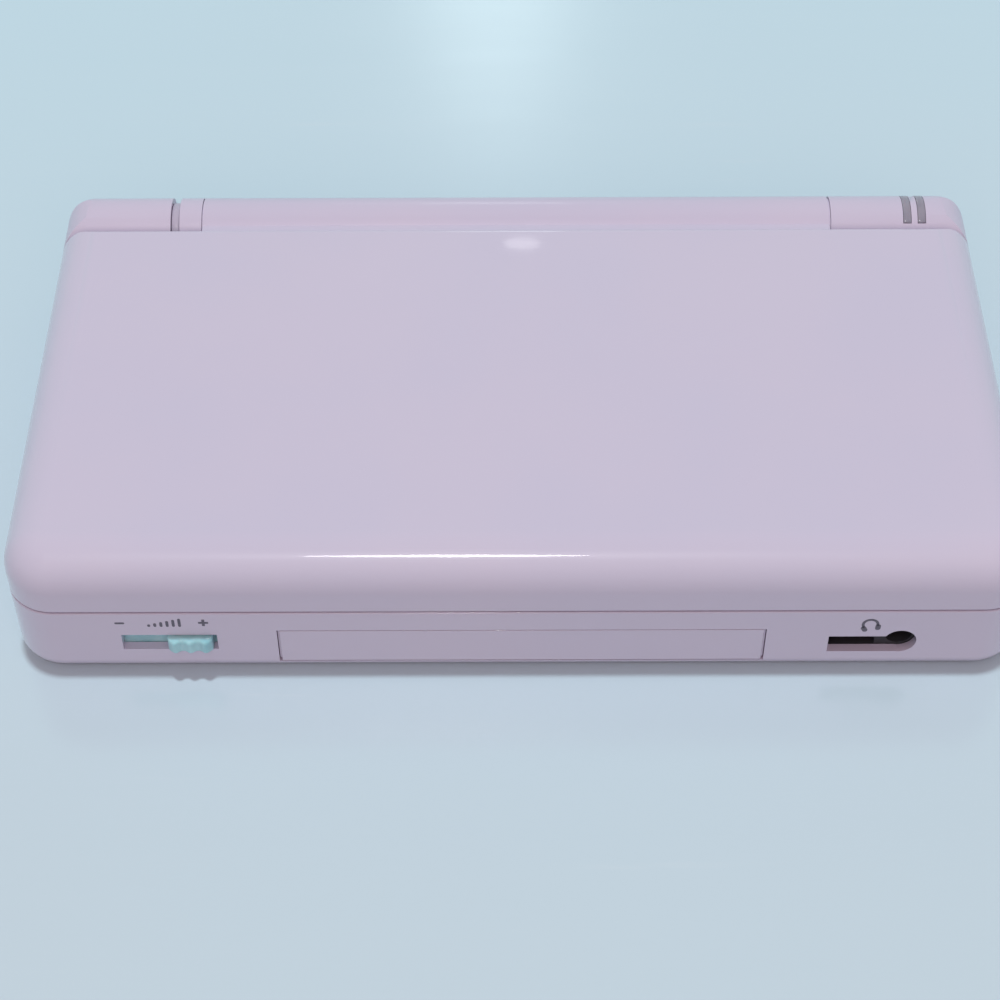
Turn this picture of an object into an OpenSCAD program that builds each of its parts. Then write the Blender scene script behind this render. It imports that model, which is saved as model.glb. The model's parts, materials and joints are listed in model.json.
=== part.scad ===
// Clamshell handheld game console, closed and lying on its feet.
// X runs to the right, Y to the rear where the hinge is, Z up. The origin is
// on the table under the middle of the console.

/* [Overall] */
// Width of the console
body_w = 133; // [128:0.5:145]
// Depth of the console, from the front wall to the back of the hinge barrel
body_d = 73.9; // [72:0.1:84]
// Height of the base without its feet
base_h = 11.7; // [11.5:0.1:14]
// Height of the lid, which is also the diameter of the hinge barrel
lid_h = 9.2; // [8.8:0.1:11]
// Gap between the closed lid and the base
lid_gap = 0.3; // [0.2:0.05:0.5]
// How far the feet stand out below the base
foot_proud = 0.3; // [0.2:0.05:0.8]

/* [Shells] */
// Wall of both shells
wall = 1.2; // [1:0.05:1.5]
// Floor of the base
floor_t = 1.3; // [1.1:0.05:1.4]
// Radius of the front corners, seen from above
front_corner_r = 6.5; // [6.2:0.1:8]
// Radius of the rolled edge round the lid's top
lid_edge_r = 6; // [5:0.1:6.1]
// Radius of the base's lower edge
base_edge_r = 2.3; // [1.5:0.1:2.6]
// Radius of the thin edges where base and lid meet
rim_edge_r = 0.2; // [0.2:0.05:0.6]
// Radius of the lid's rear top edge, in front of the barrel
lid_rear_r = 1.2; // [0.8:0.1:1.6]
// Thickness of the deck under the hinge barrel
deck_t = 1.5; // [1.2:0.1:1.6]
// Thickness of the two inner face plates
plate_t = 1; // [0.8:0.1:1.1]
// How far the base's face plate lies below its rim
plate_recess = 0.5; // [0.4:0.1:0.7]
// How far the lid's inner frame lies above the lid's rim
frame_recess = 0.9; // [0.8:0.1:1.2]

/* [Hinge] */
// Width of the left ear, which holds the hinge unit
left_ear_w = 16.1; // [15.5:0.1:18]
// Width of the right ear, which holds the lamps
right_ear_w = 20.5; // [20:0.1:24]
// Width of the groove beside the left ear
hinge_groove = 1.25; // [0.8:0.05:1.6]
// Width of the collar between the groove and the barrel
collar_w = 3.3; // [2.5:0.1:5]
// Radius of the hinge shaft
shaft_r = 1.5; // [1.2:0.05:1.8]
// Outer radius of the hinge unit and of the ribbon bush
bush_r = 3; // [2.7:0.05:3.3]
// Wall of the ribbon bush
bush_wall = 0.7; // [0.5:0.05:0.9]
// Depth of the valley between the lid's top and the barrel
valley_h = 1.2; // [0.8:0.1:1.6]

/* [Screens] */
// Width of both screens
screen_w = 62; // [58:0.5:64]
// Height of both screens
screen_h = 46.6; // [43:0.1:48]
// Distance of the screens' middle in front of the console's middle
screen_y = 4; // [3:0.5:5]
// Margin of the touch glass and the lens round the screens
glass_margin = 2; // [1.5:0.1:2.4]
// Thickness of the touch glass and of the lens
glass_t = 0.6; // [0.4:0.05:0.7]
// Margin of the display modules round the screens
module_margin = 3.8; // [3:0.1:4.5]
// Thickness of the lower display module
lower_lcd_t = 1.5; // [1.2:0.1:1.6]
// Thickness of the upper display module
upper_lcd_t = 3; // [2:0.1:3.6]

/* [Controls] */
// Distance of both control groups' middles from the side walls
control_inset = 17; // [16.5:0.1:18]
// Distance of both control groups in front of the console's middle
control_y = 1; // [0:0.5:4]
// Radius of a face button
button_r = 3.7; // [3.4:0.1:4]
// Distance of a face button from its group's middle
button_pitch = 6.9; // [6.6:0.1:7.2]
// Span of the direction pad
pad_span = 19.5; // [18:0.1:20.5]
// Width of the direction pad's arms
pad_arm = 6.4; // [5.8:0.1:7]
// Radius of the two small buttons
small_r = 1.9; // [1.6:0.05:2.2]
// How far the controls stand out of the face plate
button_proud = 0.9; // [0.6:0.05:1.1]
// How far a button can be pressed
button_travel = 0.6; // [0.4:0.05:0.65]
// Gap round the controls in the face plate
button_gap = 0.3; // [0.2:0.05:0.4]

/* [Front] */
// Distance of the volume slot's middle from the left wall
volume_inset = 21; // [19.5:0.1:22]
// Length of the volume slot
volume_slot_w = 12.45; // [11:0.05:13]
// Height of the volume slot
volume_slot_h = 2.95; // [2.6:0.05:3.2]
// Height of the front openings' middle above the table
slot_z = 6; // [5.8:0.05:6.2]
// Length of the volume knob
volume_knob_w = 5.85; // [5:0.05:6.5]
// Gap between the volume knob and the right end of its slot
volume_knob_gap = 0.6; // [0.4:0.05:0.8]
// How far the slider knobs stand out of the wall
knob_proud = 1.2; // [0.6:0.05:1.3]
// Distance of the headphone hole's middle from the right wall
jack_inset = 16.7; // [15.5:0.1:18]
// Radius of the headphone hole in the wall
jack_hole_r = 2.15; // [1.95:0.05:2.4]
// Radius of the headphone jack's bore
jack_bore_r = 1.8; // [1.75:0.01:1.85]
// Length of the headphone jack's bore
jack_len = 12; // [10:0.5:14]
// Length of the headset slot beside the headphone hole
headset_w = 9.35; // [8:0.05:10]
// Height of the headset slot
headset_h = 3.1; // [2.6:0.05:3.4]
// Distance of the cartridge cover's middle to the right of the console's
cover_x = 0.4; // [-1:0.1:1]
// Width of the cartridge cover
cover_w = 63; // [60:0.5:64]
// Height of the cartridge cover
cover_h = 6.1; // [5.6:0.1:6.2]
// Height of the cartridge cover's lower edge above the table
cover_z = 2.3; // [2.2:0.05:2.5]
// Depth of the cartridge slot
cartridge_depth = 31; // [27:0.5:31]

/* [Rear and sides] */
// Width of a trigger
trigger_w = 17.3; // [15.5:0.1:17.6]
// Depth of a trigger
trigger_d = 8.9; // [8:0.1:9.5]
// Height of a trigger
trigger_h = 6.7; // [6:0.1:6.8]
// Height of the triggers' lower edge above the table
trigger_z = 3.4; // [3.2:0.1:3.6]
// Wall of a trigger
trigger_wall = 2; // [1.5:0.1:2.2]
// Gap in front of a trigger, for its travel
trigger_travel_gap = 1.35; // [1.3:0.05:1.6]
// Radius of the trigger pins
trigger_pin_r = 0.8; // [0.6:0.05:0.9]
// Distance of the power socket's middle from the right wall
socket_inset = 24.2; // [24:0.1:24.6]
// Distance of the card slot's right edge from the power socket's middle
card_gap = 5.6; // [5.2:0.1:6]
// Width of the card slot
card_w = 33.4; // [33:0.1:34]
// Height of the card slot
card_h = 4.15; // [4.1:0.05:4.3]
// Depth of the card slot
card_depth = 32.4; // [31:0.1:32.6]
// Radius of the stylus
stylus_r = 2.45; // [2.2:0.05:2.5]
// Length of the stylus
stylus_len = 87.5; // [75:0.5:92]
// Room between the cartridge connector and the stylus silo
stylus_room = 0.75; // [0.5:0.05:0.9]
// Height of the stylus above the table
stylus_z = 4.9; // [4.8:0.05:5]
// Length of the power switch's slot
power_slot_w = 8; // [7:0.5:9]
// Length of the power knob
power_knob_w = 5; // [4:0.1:5.2]
// Height of the power slot
power_slot_h = 2.6; // [2.2:0.1:3]
// Distance of the power slot's middle in front of the stylus
power_gap = 9.5; // [9.5:0.1:12]

/* [Inside] */
// Thickness of the main board
board_t = 0.7; // [0.6:0.05:0.8]
// Height of the main board's underside above the table
board_z = 8.1; // [8.05:0.05:8.2]
// Width of the battery
battery_w = 41; // [36:0.5:41.5]
// Depth of the battery
battery_d = 28.8; // [25:0.1:29]
// Height of the battery
battery_h = 5.7; // [5:0.1:6]
// Radius of the screws' heads
screw_head_r = 1.7; // [1.4:0.05:1.9]
// Radius of the screws' shanks
screw_r = 0.9; // [0.7:0.05:1]
// Radius of the feet
foot_r = 3; // [2.5:0.1:3.4]

/* [Clearances] */
// Gap between parts of one body that sit in each other
fit_gap = 0.1; // [0.05:0.05:0.15]
// Radial gap of a turning or sliding fit
run_gap = 0.06; // [0.03:0.01:0.1]
// Gap between parts that move past each other
free_gap = 0.3; // [0.25:0.05:0.35]

/* [Hidden] */
$fn = 64;
shell_pink = [0.76, 0.70, 0.78];
face_pink = [0.80, 0.72, 0.80];
over = 1;                                  // how far a cutter runs past a face

// Heights
base_z = foot_proud;
base_top = base_z + base_h;
lid_z = base_top + lid_gap;
lid_top = lid_z + lid_h;
floor_z = base_z + floor_t;
deck_z = base_top - deck_t;
face_z = base_top - plate_recess;
plate_z = face_z - plate_t;
board_top = board_z + board_t;
frame_z = lid_z + frame_recess;
frame_top = frame_z + plate_t;
// Outline
right_x = body_w / 2;
rear_y = body_d / 2;
front_y = -rear_y;
// Distances of the controls, sockets and slots from the console's middle
control_x = right_x - control_inset;
volume_x = right_x - volume_inset;
jack_x = right_x - jack_inset;
socket_x = right_x - socket_inset;
card_x = socket_x - card_gap - card_w;
// Hinge
hinge_r = lid_h / 2;
hinge_y = rear_y - hinge_r;
hinge_z = lid_top - hinge_r;
ear_front_y = hinge_y - hinge_r;
lid_rear_y = ear_front_y - free_gap;
left_ear_x = -right_x + left_ear_w;
collar_x0 = left_ear_x + hinge_groove;
collar_x1 = collar_x0 + collar_w;
barrel_x0 = collar_x1 + 1.5 * fit_gap;
right_ear_x = right_x - right_ear_w;
barrel_x1 = right_ear_x - free_gap;
trough_rise = 0.8;                         // of the rear lip beside the barrel
hinge_unit_len = 11.6;
hinge_disc_r = hinge_r - 0.7;
shaft_in_barrel = 8;
bush_in_ear = 12;
bush_in_barrel = 8;
ribbon_t = 0.3;
ribbon_tail = 4;
mic_hollow_r = bush_r + 0.2;
mic_hollow_w = 16;
mic_r = 1.4;
mic_h = 1.2;
mic_hole_r = 0.6;
// Lamps in the right ear
led_w = 1.12;
led_pitch = 2.1;
led_inset = 9.37;                          // of the inner lamp, from the right wall
led_x = right_x - led_inset;
led_from = 38;                             // angle of the rear end, up from +Y
led_to = 131;                              // angle of the front end
led_t = 0.9;
led_proud = 0.03;
// Screws and bosses
boss_r = 2.2;
boss_inset = [8.5, 7.5];                   // from the side and front walls
boss_pitch = 47.45;
base_boss = [for (x = [-1, 1], i = [0, 1])
    [x * (right_x - boss_inset.x), front_y + boss_inset.y + i * boss_pitch]];
counterbore = 0.7;
head_t = 0.6;
pilot_r = screw_r - fit_gap;
base_screw_len = 6;
foot_t = 0.8;
foot_seat = foot_t - foot_proud;
foot_inset = [16, 12];                     // from the side and rear walls
foot_x = right_x - foot_inset.x;
foot_y = rear_y - foot_inset.y;
// Cartridge slot
cover_t = wall;
cover_gap = 0.15;
cover_side_gap = 0.35;
cover_arm = 1.6;
cartridge_w = cover_w - 2.4;
cartridge_rib = 1;
cartridge_top = board_z - fit_gap;
cartridge_end = front_y + cartridge_depth;
connector_d = 3.2;
connector_margin = 2;
cover_arm_len = cartridge_depth - cover_t - 1.5;
cover_arm_h = 4.8;
// Card slot
cage_t = 0.2;
card_z = board_z - fit_gap / 2 - cage_t - card_h;
// Power socket
socket_w = 8;
socket_d = 6.5;
socket_h = 4;
socket_hole = [6.2, 2.4];
// Stylus
silo_wall = 0.4;
silo_bore_r = stylus_r + fit_gap;
stylus_y = cartridge_end + fit_gap + connector_d + stylus_room + silo_bore_r + silo_wall;
stylus_tip_len = 7;
stylus_tip_r = 0.6;
stylus_neck_r = stylus_r - 0.25;
stylus_head_len = 9;
// Battery and its cover
battery_card_gap = 2.3;
battery_x = card_x - battery_card_gap - battery_w;
battery_y = stylus_y + silo_bore_r + silo_wall + 0.7;
battery_margin = 0.6;
bay_tab = 6;
bay_r = 2;
bay_screw_len = 3.4;
bracket_w = 3;
bracket_lap = 0.2;
// Headphone jack and headset slot
headset_drop = 0.55;                       // of the slot's middle below the jack's
headset_d = 6;
jack_wall = 0.9;
jack_body_h = 5.6;
// Wireless board
wifi_size = [14, 22, 0.8];
wifi_can = [11, 14, 1.3];
wifi_margin = [1.5, 3];
wifi_at = [-6, 16];                        // from the volume slot and the front wall
// Volume and power sliders
slot_lift = 0.25;                          // of the volume slot above the jack
knob_h_gap = 0.28;
carriage_t = 0.7;
carriage_over = 1.2;
carriage_lap = 0.2;                        // of the volume knob's carriage past its slot
volume_travel = volume_slot_w - volume_knob_w - 1.6 * volume_knob_gap;
volume_left = -volume_x - volume_slot_w / 2;
volume_right = volume_left + volume_slot_w;
ridge_r = 0.38;
switch_d = 3;
switch_h = 4.2;
power_y = stylus_y - power_gap;
power_proud = 0.8;
power_z = slot_z + 0.4;
// Buttons
flange_t = 0.5;
flange_over = 0.7;
flange_top = plate_z - fit_gap;
sheet_t = 0.2;
sheet_z = board_top + 0.05;
dome_inset = 0.45;                         // from the edge of a button
pad_dome_at = 7.4;
pad_dome_r = 1.4;
pad_sheet_r = 10.6;
sheet_top = sheet_z + sheet_t;
dome_h = flange_top - flange_t - fit_gap - button_travel - sheet_top;
button_top_r = 0.4;
small_inset = 5;                           // from the middle of the face buttons
small_drop = 19.5;
small_pitch = 7;
small_pos = [for (i = [0, 1]) [control_x - small_inset, -control_y - small_drop - i * small_pitch]];
pad_hub_r = 5.9;
pad_hub_t = 0.45;
pad_hub_top = plate_z - 0.5;
pad_pivot_r = 1.1;
pad_dimple_r = 2;
// Triggers
pocket_gap = free_gap;
trigger_x0 = right_x - trigger_w;
trigger_y0 = rear_y - trigger_d;
pivot = [trigger_x0 + 3.2, rear_y - 3.75];
pivot_boss_r = 1.9;
pin_seat = 0.5;
spring_wire_r = 0.25;
spring_coil_r = 1.3;
spring_turns = 4;
spring_pitch = 2.3 * spring_wire_r;
spring_h = spring_pitch * (spring_turns + 0.5) + 2 * spring_wire_r;
pivot_boss_h = trigger_h - spring_h - 2 * fit_gap;
// Strap loop
strap_inset = 21.8;                        // from the left wall
strap_x = strap_inset - right_x;
strap_w = 5;
strap_d = 3;
strap_h = 3.6;
strap_z = 4;
strap_bar_r = 0.9;
// Lid
speaker_inset = 14.5;                      // from the side wall
speaker_x = right_x - speaker_inset;
speaker_r = 7;
speaker_t = 3;
speaker_hole_r = 0.75;
speaker_hole_pitch = 2.6;
bumper_inset = 9.5;                        // from the middle of the control groups
bumper_pitch = 50;
bumper_drop = 26;                          // in front of the screens' middle
bumper_pos = [for (x = [-1, 1], i = [0, 1])
    [x * (control_x - bumper_inset), i * bumper_pitch - bumper_drop - screen_y]];
bumper_r = 2.4;
bumper_seat = 0.4;
bumper_gap = 0.3;
lid_screw_len = 4;

// ---------------------------------------------------------------- shapes

// Half section of a slab's edge: the outer face is at x = reach, with its
// lower and upper edges rounded.
module edge_section(reach, z0, z1, low_r, top_r) {
    difference() {
        translate([0, z0]) square([reach, z1 - z0]);
        if (low_r > 0)
            difference() {
                translate([reach - low_r, z0 - over]) square([low_r + over, low_r + over]);
                translate([reach - low_r, z0 + low_r]) circle(low_r);
            }
        if (top_r > 0)
            difference() {
                translate([reach - top_r, z1 - top_r]) square([top_r + over, top_r + over]);
                translate([reach - top_r, z1 - top_r]) circle(top_r);
            }
    }
}

// Slab with rounded front corners, rounded or square rear corners, and rolled
// lower and upper edges.
module slab(x1, y0, y1, z0, z1, front_r, rear_r, low_r, top_r) {
    side_r = rear_r > 0 ? min(front_r, rear_r) : front_r;
    for (m = [0, 1]) mirror([m, 0, 0]) {
        translate([x1 - front_r, y0 + front_r, 0]) rotate([0, 0, -90])
            rotate_extrude(angle = 90) edge_section(front_r, z0, z1, low_r, top_r);
        if (rear_r > 0)
            translate([x1 - rear_r, y1 - rear_r, 0])
                rotate_extrude(angle = 90) edge_section(rear_r, z0, z1, low_r, top_r);
        translate([x1 - side_r, y1 - rear_r, 0]) rotate([90, 0, 0])
            linear_extrude(y1 - y0 - front_r - rear_r)
                edge_section(side_r, z0, z1, low_r, top_r);
    }
    translate([x1 - front_r, y0 + front_r, 0]) rotate([90, 0, -90])
        linear_extrude(2 * (x1 - front_r)) edge_section(front_r, z0, z1, low_r, top_r);
    if (rear_r > 0)
        translate([rear_r - x1, y1 - rear_r, 0]) rotate([90, 0, 90])
            linear_extrude(2 * (x1 - rear_r)) edge_section(rear_r, z0, z1, low_r, top_r);
    translate([side_r - x1, y0 + front_r, z0])
        cube([2 * (x1 - side_r), y1 - y0 - front_r - rear_r, z1 - z0]);
}

// Rounded rectangle between two corners.
module round_rect(x0, y0, x1, y1, r) {
    translate([x0 + r, y0]) square([x1 - x0 - 2 * r, y1 - y0]);
    translate([x0, y0 + r]) square([x1 - x0, y1 - y0 - 2 * r]);
    for (x = [x0 + r, x1 - r], y = [y0 + r, y1 - r]) translate([x, y]) circle(r);
}

// Rounded rectangle with its own radius at the front and at the rear.
module plan(x1, y0, y1, front_r, rear_r) {
    intersection() {
        round_rect(-x1, y0, x1, y1 + 2 * front_r, front_r);
        round_rect(-x1, y0 - 2 * rear_r, x1, y1, rear_r);
    }
}

// Box between two corners.
module box(low, high) {
    translate(low) cube(high - low);
}

// Cylinder along X between two places.
module rod_x(x0, x1, y, z, r) {
    translate([x0, y, z]) rotate([0, 90, 0]) cylinder(h = x1 - x0, r = r);
}

// Cylinder along Y between two places.
module rod_y(y0, y1, x, z, r) {
    translate([x, y1, z]) rotate([90, 0, 0]) cylinder(h = y1 - y0, r = r);
}

// Children seen from the side: the drawing's x runs along Y, its y along Z,
// and the solid runs along X between two places.
module along_x(x0, x1) {
    translate([x0, 0, 0]) rotate([90, 0, 90]) linear_extrude(x1 - x0) children();
}

// Section of an ear: a block with the hinge's round top.
module ear_section() {
    translate([ear_front_y, base_top - over]) square([2 * hinge_r, hinge_z - base_top + over]);
    translate([hinge_y, hinge_z]) circle(hinge_r);
}

// Section of the ear's round end: half of ear_section(), measured from the axis.
module ear_half() {
    translate([0, base_top - over]) square([hinge_r, hinge_z - base_top + over]);
    translate([0, hinge_z]) intersection() {
        circle(hinge_r);
        square(hinge_r);
    }
}

// Ear at the rear right corner, from x0 to the outer wall, where its end is
// rolled like the lid's side edge.
module right_ear(x0) {
    end_x = right_x - hinge_r;
    intersection() {
        union() {
            along_x(x0, end_x) ear_section();
            along_x(end_x, right_x) intersection() {
                ear_section();
                translate([ear_front_y, base_top - over]) square([hinge_r, lid_h + 2 * over]);
            }
            translate([end_x, hinge_y, 0]) rotate_extrude(angle = 90) ear_half();
        }
        translate([0, rear_y + over, 0]) rotate([90, 0, 0])
            linear_extrude(2 * (hinge_r + over))
                edge_section(right_x, base_top - over, lid_top, 0, lid_edge_r);
    }
}

// Pocket that a trigger sits in, at the rear right corner.
module trigger_pocket(grow) {
    x0 = trigger_x0 - pocket_gap - grow;
    y0 = trigger_y0 - trigger_travel_gap - grow;
    translate([x0, y0]) square([right_x + over - x0, rear_y + over - y0]);
}

// Outline of the headset slot and the round headphone hole.
module jack_outline(grow) {
    translate([jack_x, slot_z]) circle(jack_hole_r + grow);
    translate([jack_x - headset_w - grow, slot_z - headset_drop - headset_h / 2 - grow])
        square([headset_w + grow, headset_h + 2 * grow]);
}

// Cross of the direction pad.
module cross(span, arm) {
    square([span, arm], center = true);
    square([arm, span], center = true);
}

// Button cap with a rounded top edge, from z0 to z1.
module cap(r, z0, z1) {
    rotate_extrude() edge_section(r, z0, z1, 0, button_top_r);
}

// Screw with a flat head, standing on its head at z = 0.
module screw(len) {
    cylinder(h = head_t, r = screw_head_r);
    cylinder(h = head_t + len, r = screw_r);
}

// ---------------------------------------------------------------- base

// Cuts and holes in the base's walls.
module base_openings() {
    // volume slot
    box([volume_left, front_y - over, slot_z + slot_lift - volume_slot_h / 2],
        [volume_right, front_y + wall + over, slot_z + slot_lift + volume_slot_h / 2]);
    // headphone and headset openings
    translate([0, front_y + wall + over, 0]) rotate([90, 0, 0])
        linear_extrude(wall + 2 * over) jack_outline(0);
    // cartridge slot
    box([cover_x - cover_w / 2 - cover_side_gap, front_y - over, cover_z - cover_gap],
        [cover_x + cover_w / 2 + cover_side_gap, front_y + wall + over,
         cover_z + cover_h + cover_gap]);
    // card slot
    box([card_x, rear_y - wall - over, card_z], [card_x + card_w, rear_y + over, card_z + card_h]);
    // power socket
    translate([socket_x, rear_y - wall / 2, board_z - socket_h / 2])
        cube([socket_hole.x, wall + 2 * over, socket_hole.y], center = true);
    // power slot
    box([right_x - wall - over, power_y - power_slot_w / 2, power_z - power_slot_h / 2],
        [right_x + over, power_y + power_slot_w / 2, power_z + power_slot_h / 2]);
    // stylus hole
    rod_x(right_x - wall - over, right_x + over, stylus_y, stylus_z, silo_bore_r);
    // strap loop
    box([strap_x - strap_w / 2, rear_y - strap_d, strap_z],
        [strap_x + strap_w / 2, rear_y + over, strap_z + strap_h]);
    // hinge bores
    rod_x(left_ear_x - hinge_unit_len - fit_gap, left_ear_x + over, hinge_y, hinge_z,
          bush_r + fit_gap / 2);
    rod_x(right_ear_x - over, right_ear_x + bush_in_ear + fit_gap, hinge_y, hinge_z,
          bush_r + fit_gap / 2);
    // lamp slots
    for (i = [0, 1]) lamp(i, fit_gap / 2);
    // seats of the feet
    for (x = [-1, 1], y = [-1, 1])
        translate([x * foot_x, y * foot_y, base_z - over])
            cylinder(h = over + foot_seat, r = foot_r + fit_gap);
    // screw holes
    for (p = base_boss) translate([p.x, p.y, base_z - over]) {
        cylinder(h = over + counterbore + head_t, r = screw_head_r + fit_gap);
        cylinder(h = over + counterbore + head_t + base_screw_len + fit_gap, r = pilot_r + 2 * fit_gap);
    }
    // battery bay
    translate([0, 0, base_z - over]) linear_extrude(floor_t + over + fit_gap)
        bay_outline(fit_gap);
    // trigger pockets, with the seats of their pins
    for (m = [0, 1]) mirror([m, 0, 0]) {
        translate([0, 0, trigger_z - pocket_gap])
            linear_extrude(trigger_h + 2 * pocket_gap) trigger_pocket(0);
        translate([pivot.x, pivot.y, trigger_z - pocket_gap - pin_seat])
            cylinder(h = trigger_h + 2 * pocket_gap + 2 * pin_seat, r = trigger_pin_r + fit_gap / 2);
    }
}

// Outline of the battery's cover in the floor.
module bay_outline(grow) {
    round_rect(battery_x - battery_margin - bay_tab - grow, battery_y - battery_margin - grow,
               battery_x + battery_w + battery_margin + grow,
               battery_y + battery_d + battery_margin + grow, bay_r);
}

// Bracket over the battery cover's tab, which its screw goes into.
module bay_bracket() {
    x0 = battery_x - battery_margin - bay_tab;
    y0 = battery_y + battery_d / 2 - boss_r - 1;
    y1 = y0 + 2 * boss_r + 2;
    difference() {
        union() {
            box([x0 - bracket_w, y0, floor_z - fit_gap], [x0 - fit_gap, y1, floor_z + bay_screw_len]);
            box([x0 - bracket_w, y0, floor_z + fit_gap],
                [battery_x - battery_margin - bracket_lap, y1, floor_z + bay_screw_len]);
        }
        bay_screw_at() cylinder(h = head_t + bay_screw_len + over, r = pilot_r + 2 * fit_gap);
    }
}

module bay_screw_at() {
    translate([battery_x - battery_margin - bay_tab / 2, battery_y + battery_d / 2, base_z])
        children();
}

module base_tub() color(shell_pink) {
    difference() {
        union() {
            slab(right_x, front_y, rear_y, base_z, base_top,
                 front_corner_r, hinge_r, base_edge_r, rim_edge_r);
            right_ear(right_ear_x);
            mirror([1, 0, 0]) right_ear(-left_ear_x);
            // lip behind the barrel
            along_x(left_ear_x - over, right_ear_x + over) difference() {
                translate([hinge_y, 0])
                    edge_section(hinge_r, base_top - over, base_top + trough_rise, 0, rim_edge_r);
                translate([hinge_y, hinge_z]) circle(hinge_r + free_gap);
            }
        }
        // inside, below the deck
        translate([0, 0, floor_z]) linear_extrude(deck_z - floor_z) difference() {
            plan(right_x - wall, front_y + wall, rear_y - wall,
                 front_corner_r - wall, hinge_r - wall);
            for (m = [0, 1]) mirror([m, 0, 0]) trigger_pocket(wall);
            translate([strap_x - strap_w / 2 - wall, rear_y - strap_d - wall])
                square([strap_w + 2 * wall, strap_d + wall + over]);
        }
        // opening for the face plate
        translate([0, 0, deck_z - over]) linear_extrude(deck_t + 2 * over)
            face_outline(fit_gap);
        base_openings();
    }
    // strap bar
    translate([strap_x, rear_y - strap_bar_r - 0.2, strap_z - over])
        cylinder(h = strap_h + 2 * over, r = strap_bar_r);
    // ribs beside the cartridge slot
    for (s = [-1, 1]) translate([cover_x + s * (cartridge_w / 2 + cartridge_rib / 2), 0, 0])
        box([-cartridge_rib / 2, front_y + wall + 2 * cover_gap, floor_z - fit_gap],
            [cartridge_rib / 2, cartridge_end, cartridge_top]);
    // screw bosses, which carry the face plate
    for (p = base_boss) translate([p.x, p.y, 0]) difference() {
        translate([0, 0, floor_z - fit_gap]) cylinder(h = plate_z - floor_z, r = boss_r);
        translate([0, 0, base_z]) {
            cylinder(h = counterbore + head_t, r = screw_head_r + fit_gap);
            cylinder(h = counterbore + head_t + base_screw_len + fit_gap, r = pilot_r + 2 * fit_gap);
        }
    }
    bay_bracket();
}

module battery_cover() color(shell_pink) {
    difference() {
        translate([0, 0, base_z]) linear_extrude(floor_t - fit_gap) bay_outline(0);
        bay_screw_at() {
            translate([0, 0, -over]) cylinder(h = over + head_t, r = screw_head_r + fit_gap);
            cylinder(h = floor_t + over, r = screw_r + fit_gap);
        }
    }
}

module battery_cover_screw() color("silver") {
    bay_screw_at() screw(bay_screw_len);
}

module base_screws() color("silver") {
    for (p = base_boss) translate([p.x, p.y, base_z + counterbore]) screw(base_screw_len);
}

module feet() color("dimgray") {
    for (x = [-1, 1], y = [-1, 1]) translate([x * foot_x, y * foot_y, 0])
        rotate_extrude() edge_section(foot_r, 0, foot_t, foot_proud / 2, 0);
}

module battery() color("dimgray") {
    translate([0, 0, floor_z]) linear_extrude(battery_h)
        round_rect(battery_x, battery_y, battery_x + battery_w, battery_y + battery_d, 1);
}

module main_board() color("darkgreen") {
    translate([0, 0, board_z]) linear_extrude(board_t) difference() {
        plan(right_x - wall - 1, front_y + wall + 1, rear_y - wall - 1,
             front_corner_r - wall - 1, hinge_r - wall - 1);
        for (m = [0, 1]) mirror([m, 0, 0]) trigger_pocket(wall + 1);
        translate([strap_x - strap_w / 2 - wall - 1, rear_y - strap_d - wall - 1])
            square([strap_w + 2 * wall + 2, strap_d + wall + 2]);
        for (p = base_boss) translate(p) circle(boss_r + free_gap);
        // the cover's top edge passes in front of the board
        translate([cover_x - cover_w / 2 - 1, front_y]) square([cover_w + 2, wall + 2]);
    }
}

module wifi_board() color("seagreen") {
    translate([volume_left + wifi_at.x, front_y + wall + wifi_at.y, board_z - fit_gap - wifi_size.z]) {
        cube(wifi_size);
        translate([wifi_margin.x, wifi_margin.y, -wifi_can.z]) cube(wifi_can);
    }
}

module cartridge_connector() color("black") {
    w = cartridge_w - 2 * connector_margin;
    pins = 32;
    y0 = cartridge_end + fit_gap;
    translate([cover_x - w / 2, y0, floor_z + 1]) cube([w, connector_d, board_z - floor_z - 1 - fit_gap]);
    for (i = [0 : pins - 1])
        translate([cover_x - w / 2 + (i + 0.75) * w / (pins + 0.5), y0 - 1, floor_z + 2.2])
            cube([0.7, 1 + fit_gap, 0.5]);
}

module card_cage() color("silver") {
    contacts = 17;
    contact = [1, 2.2, 0.6];
    contact_margin = 1.5;
    contact_pitch = (card_w - 2 * contact_margin - contact.x) / (contacts - 1);
    difference() {
        box([card_x - cage_t, rear_y - card_depth - cage_t, card_z - cage_t],
            [card_x + card_w + cage_t, rear_y - wall - fit_gap, card_z + card_h + cage_t]);
        box([card_x, rear_y - card_depth, card_z], [card_x + card_w, rear_y, card_z + card_h]);
    }
    for (i = [0 : contacts - 1])
        translate([card_x + contact_margin + i * contact_pitch, rear_y - card_depth, card_z])
            cube(contact);
}

module power_socket() color("black") {
    difference() {
        box([socket_x - socket_w / 2, rear_y - wall - fit_gap - socket_d, board_z - socket_h],
            [socket_x + socket_w / 2, rear_y - wall - fit_gap, board_z - fit_gap]);
        translate([socket_x, rear_y - wall, board_z - socket_h / 2])
            cube([socket_hole.x, 2 * (socket_d - 1.5), socket_hole.y], center = true);
    }
    translate([socket_x, rear_y - wall - socket_d / 2 - 0.6, board_z - socket_h / 2])
        cube([socket_hole.x - 2.4, socket_d - 0.8, 0.7], center = true);
}

module headphone_jack() color("black") {
    y0 = front_y + wall + fit_gap;
    difference() {
        box([jack_x - headset_w - jack_wall, y0, board_z - jack_body_h],
            [jack_x + jack_hole_r + jack_wall, y0 + jack_len, board_z - fit_gap]);
        rod_y(y0 - over, y0 + jack_len + over, jack_x, slot_z, jack_bore_r);
        box([jack_x - headset_w, y0 - over, slot_z - headset_drop - headset_h / 2],
            [jack_x - jack_hole_r - jack_wall, y0 + headset_d, slot_z - headset_drop + headset_h / 2]);
    }
}

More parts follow.
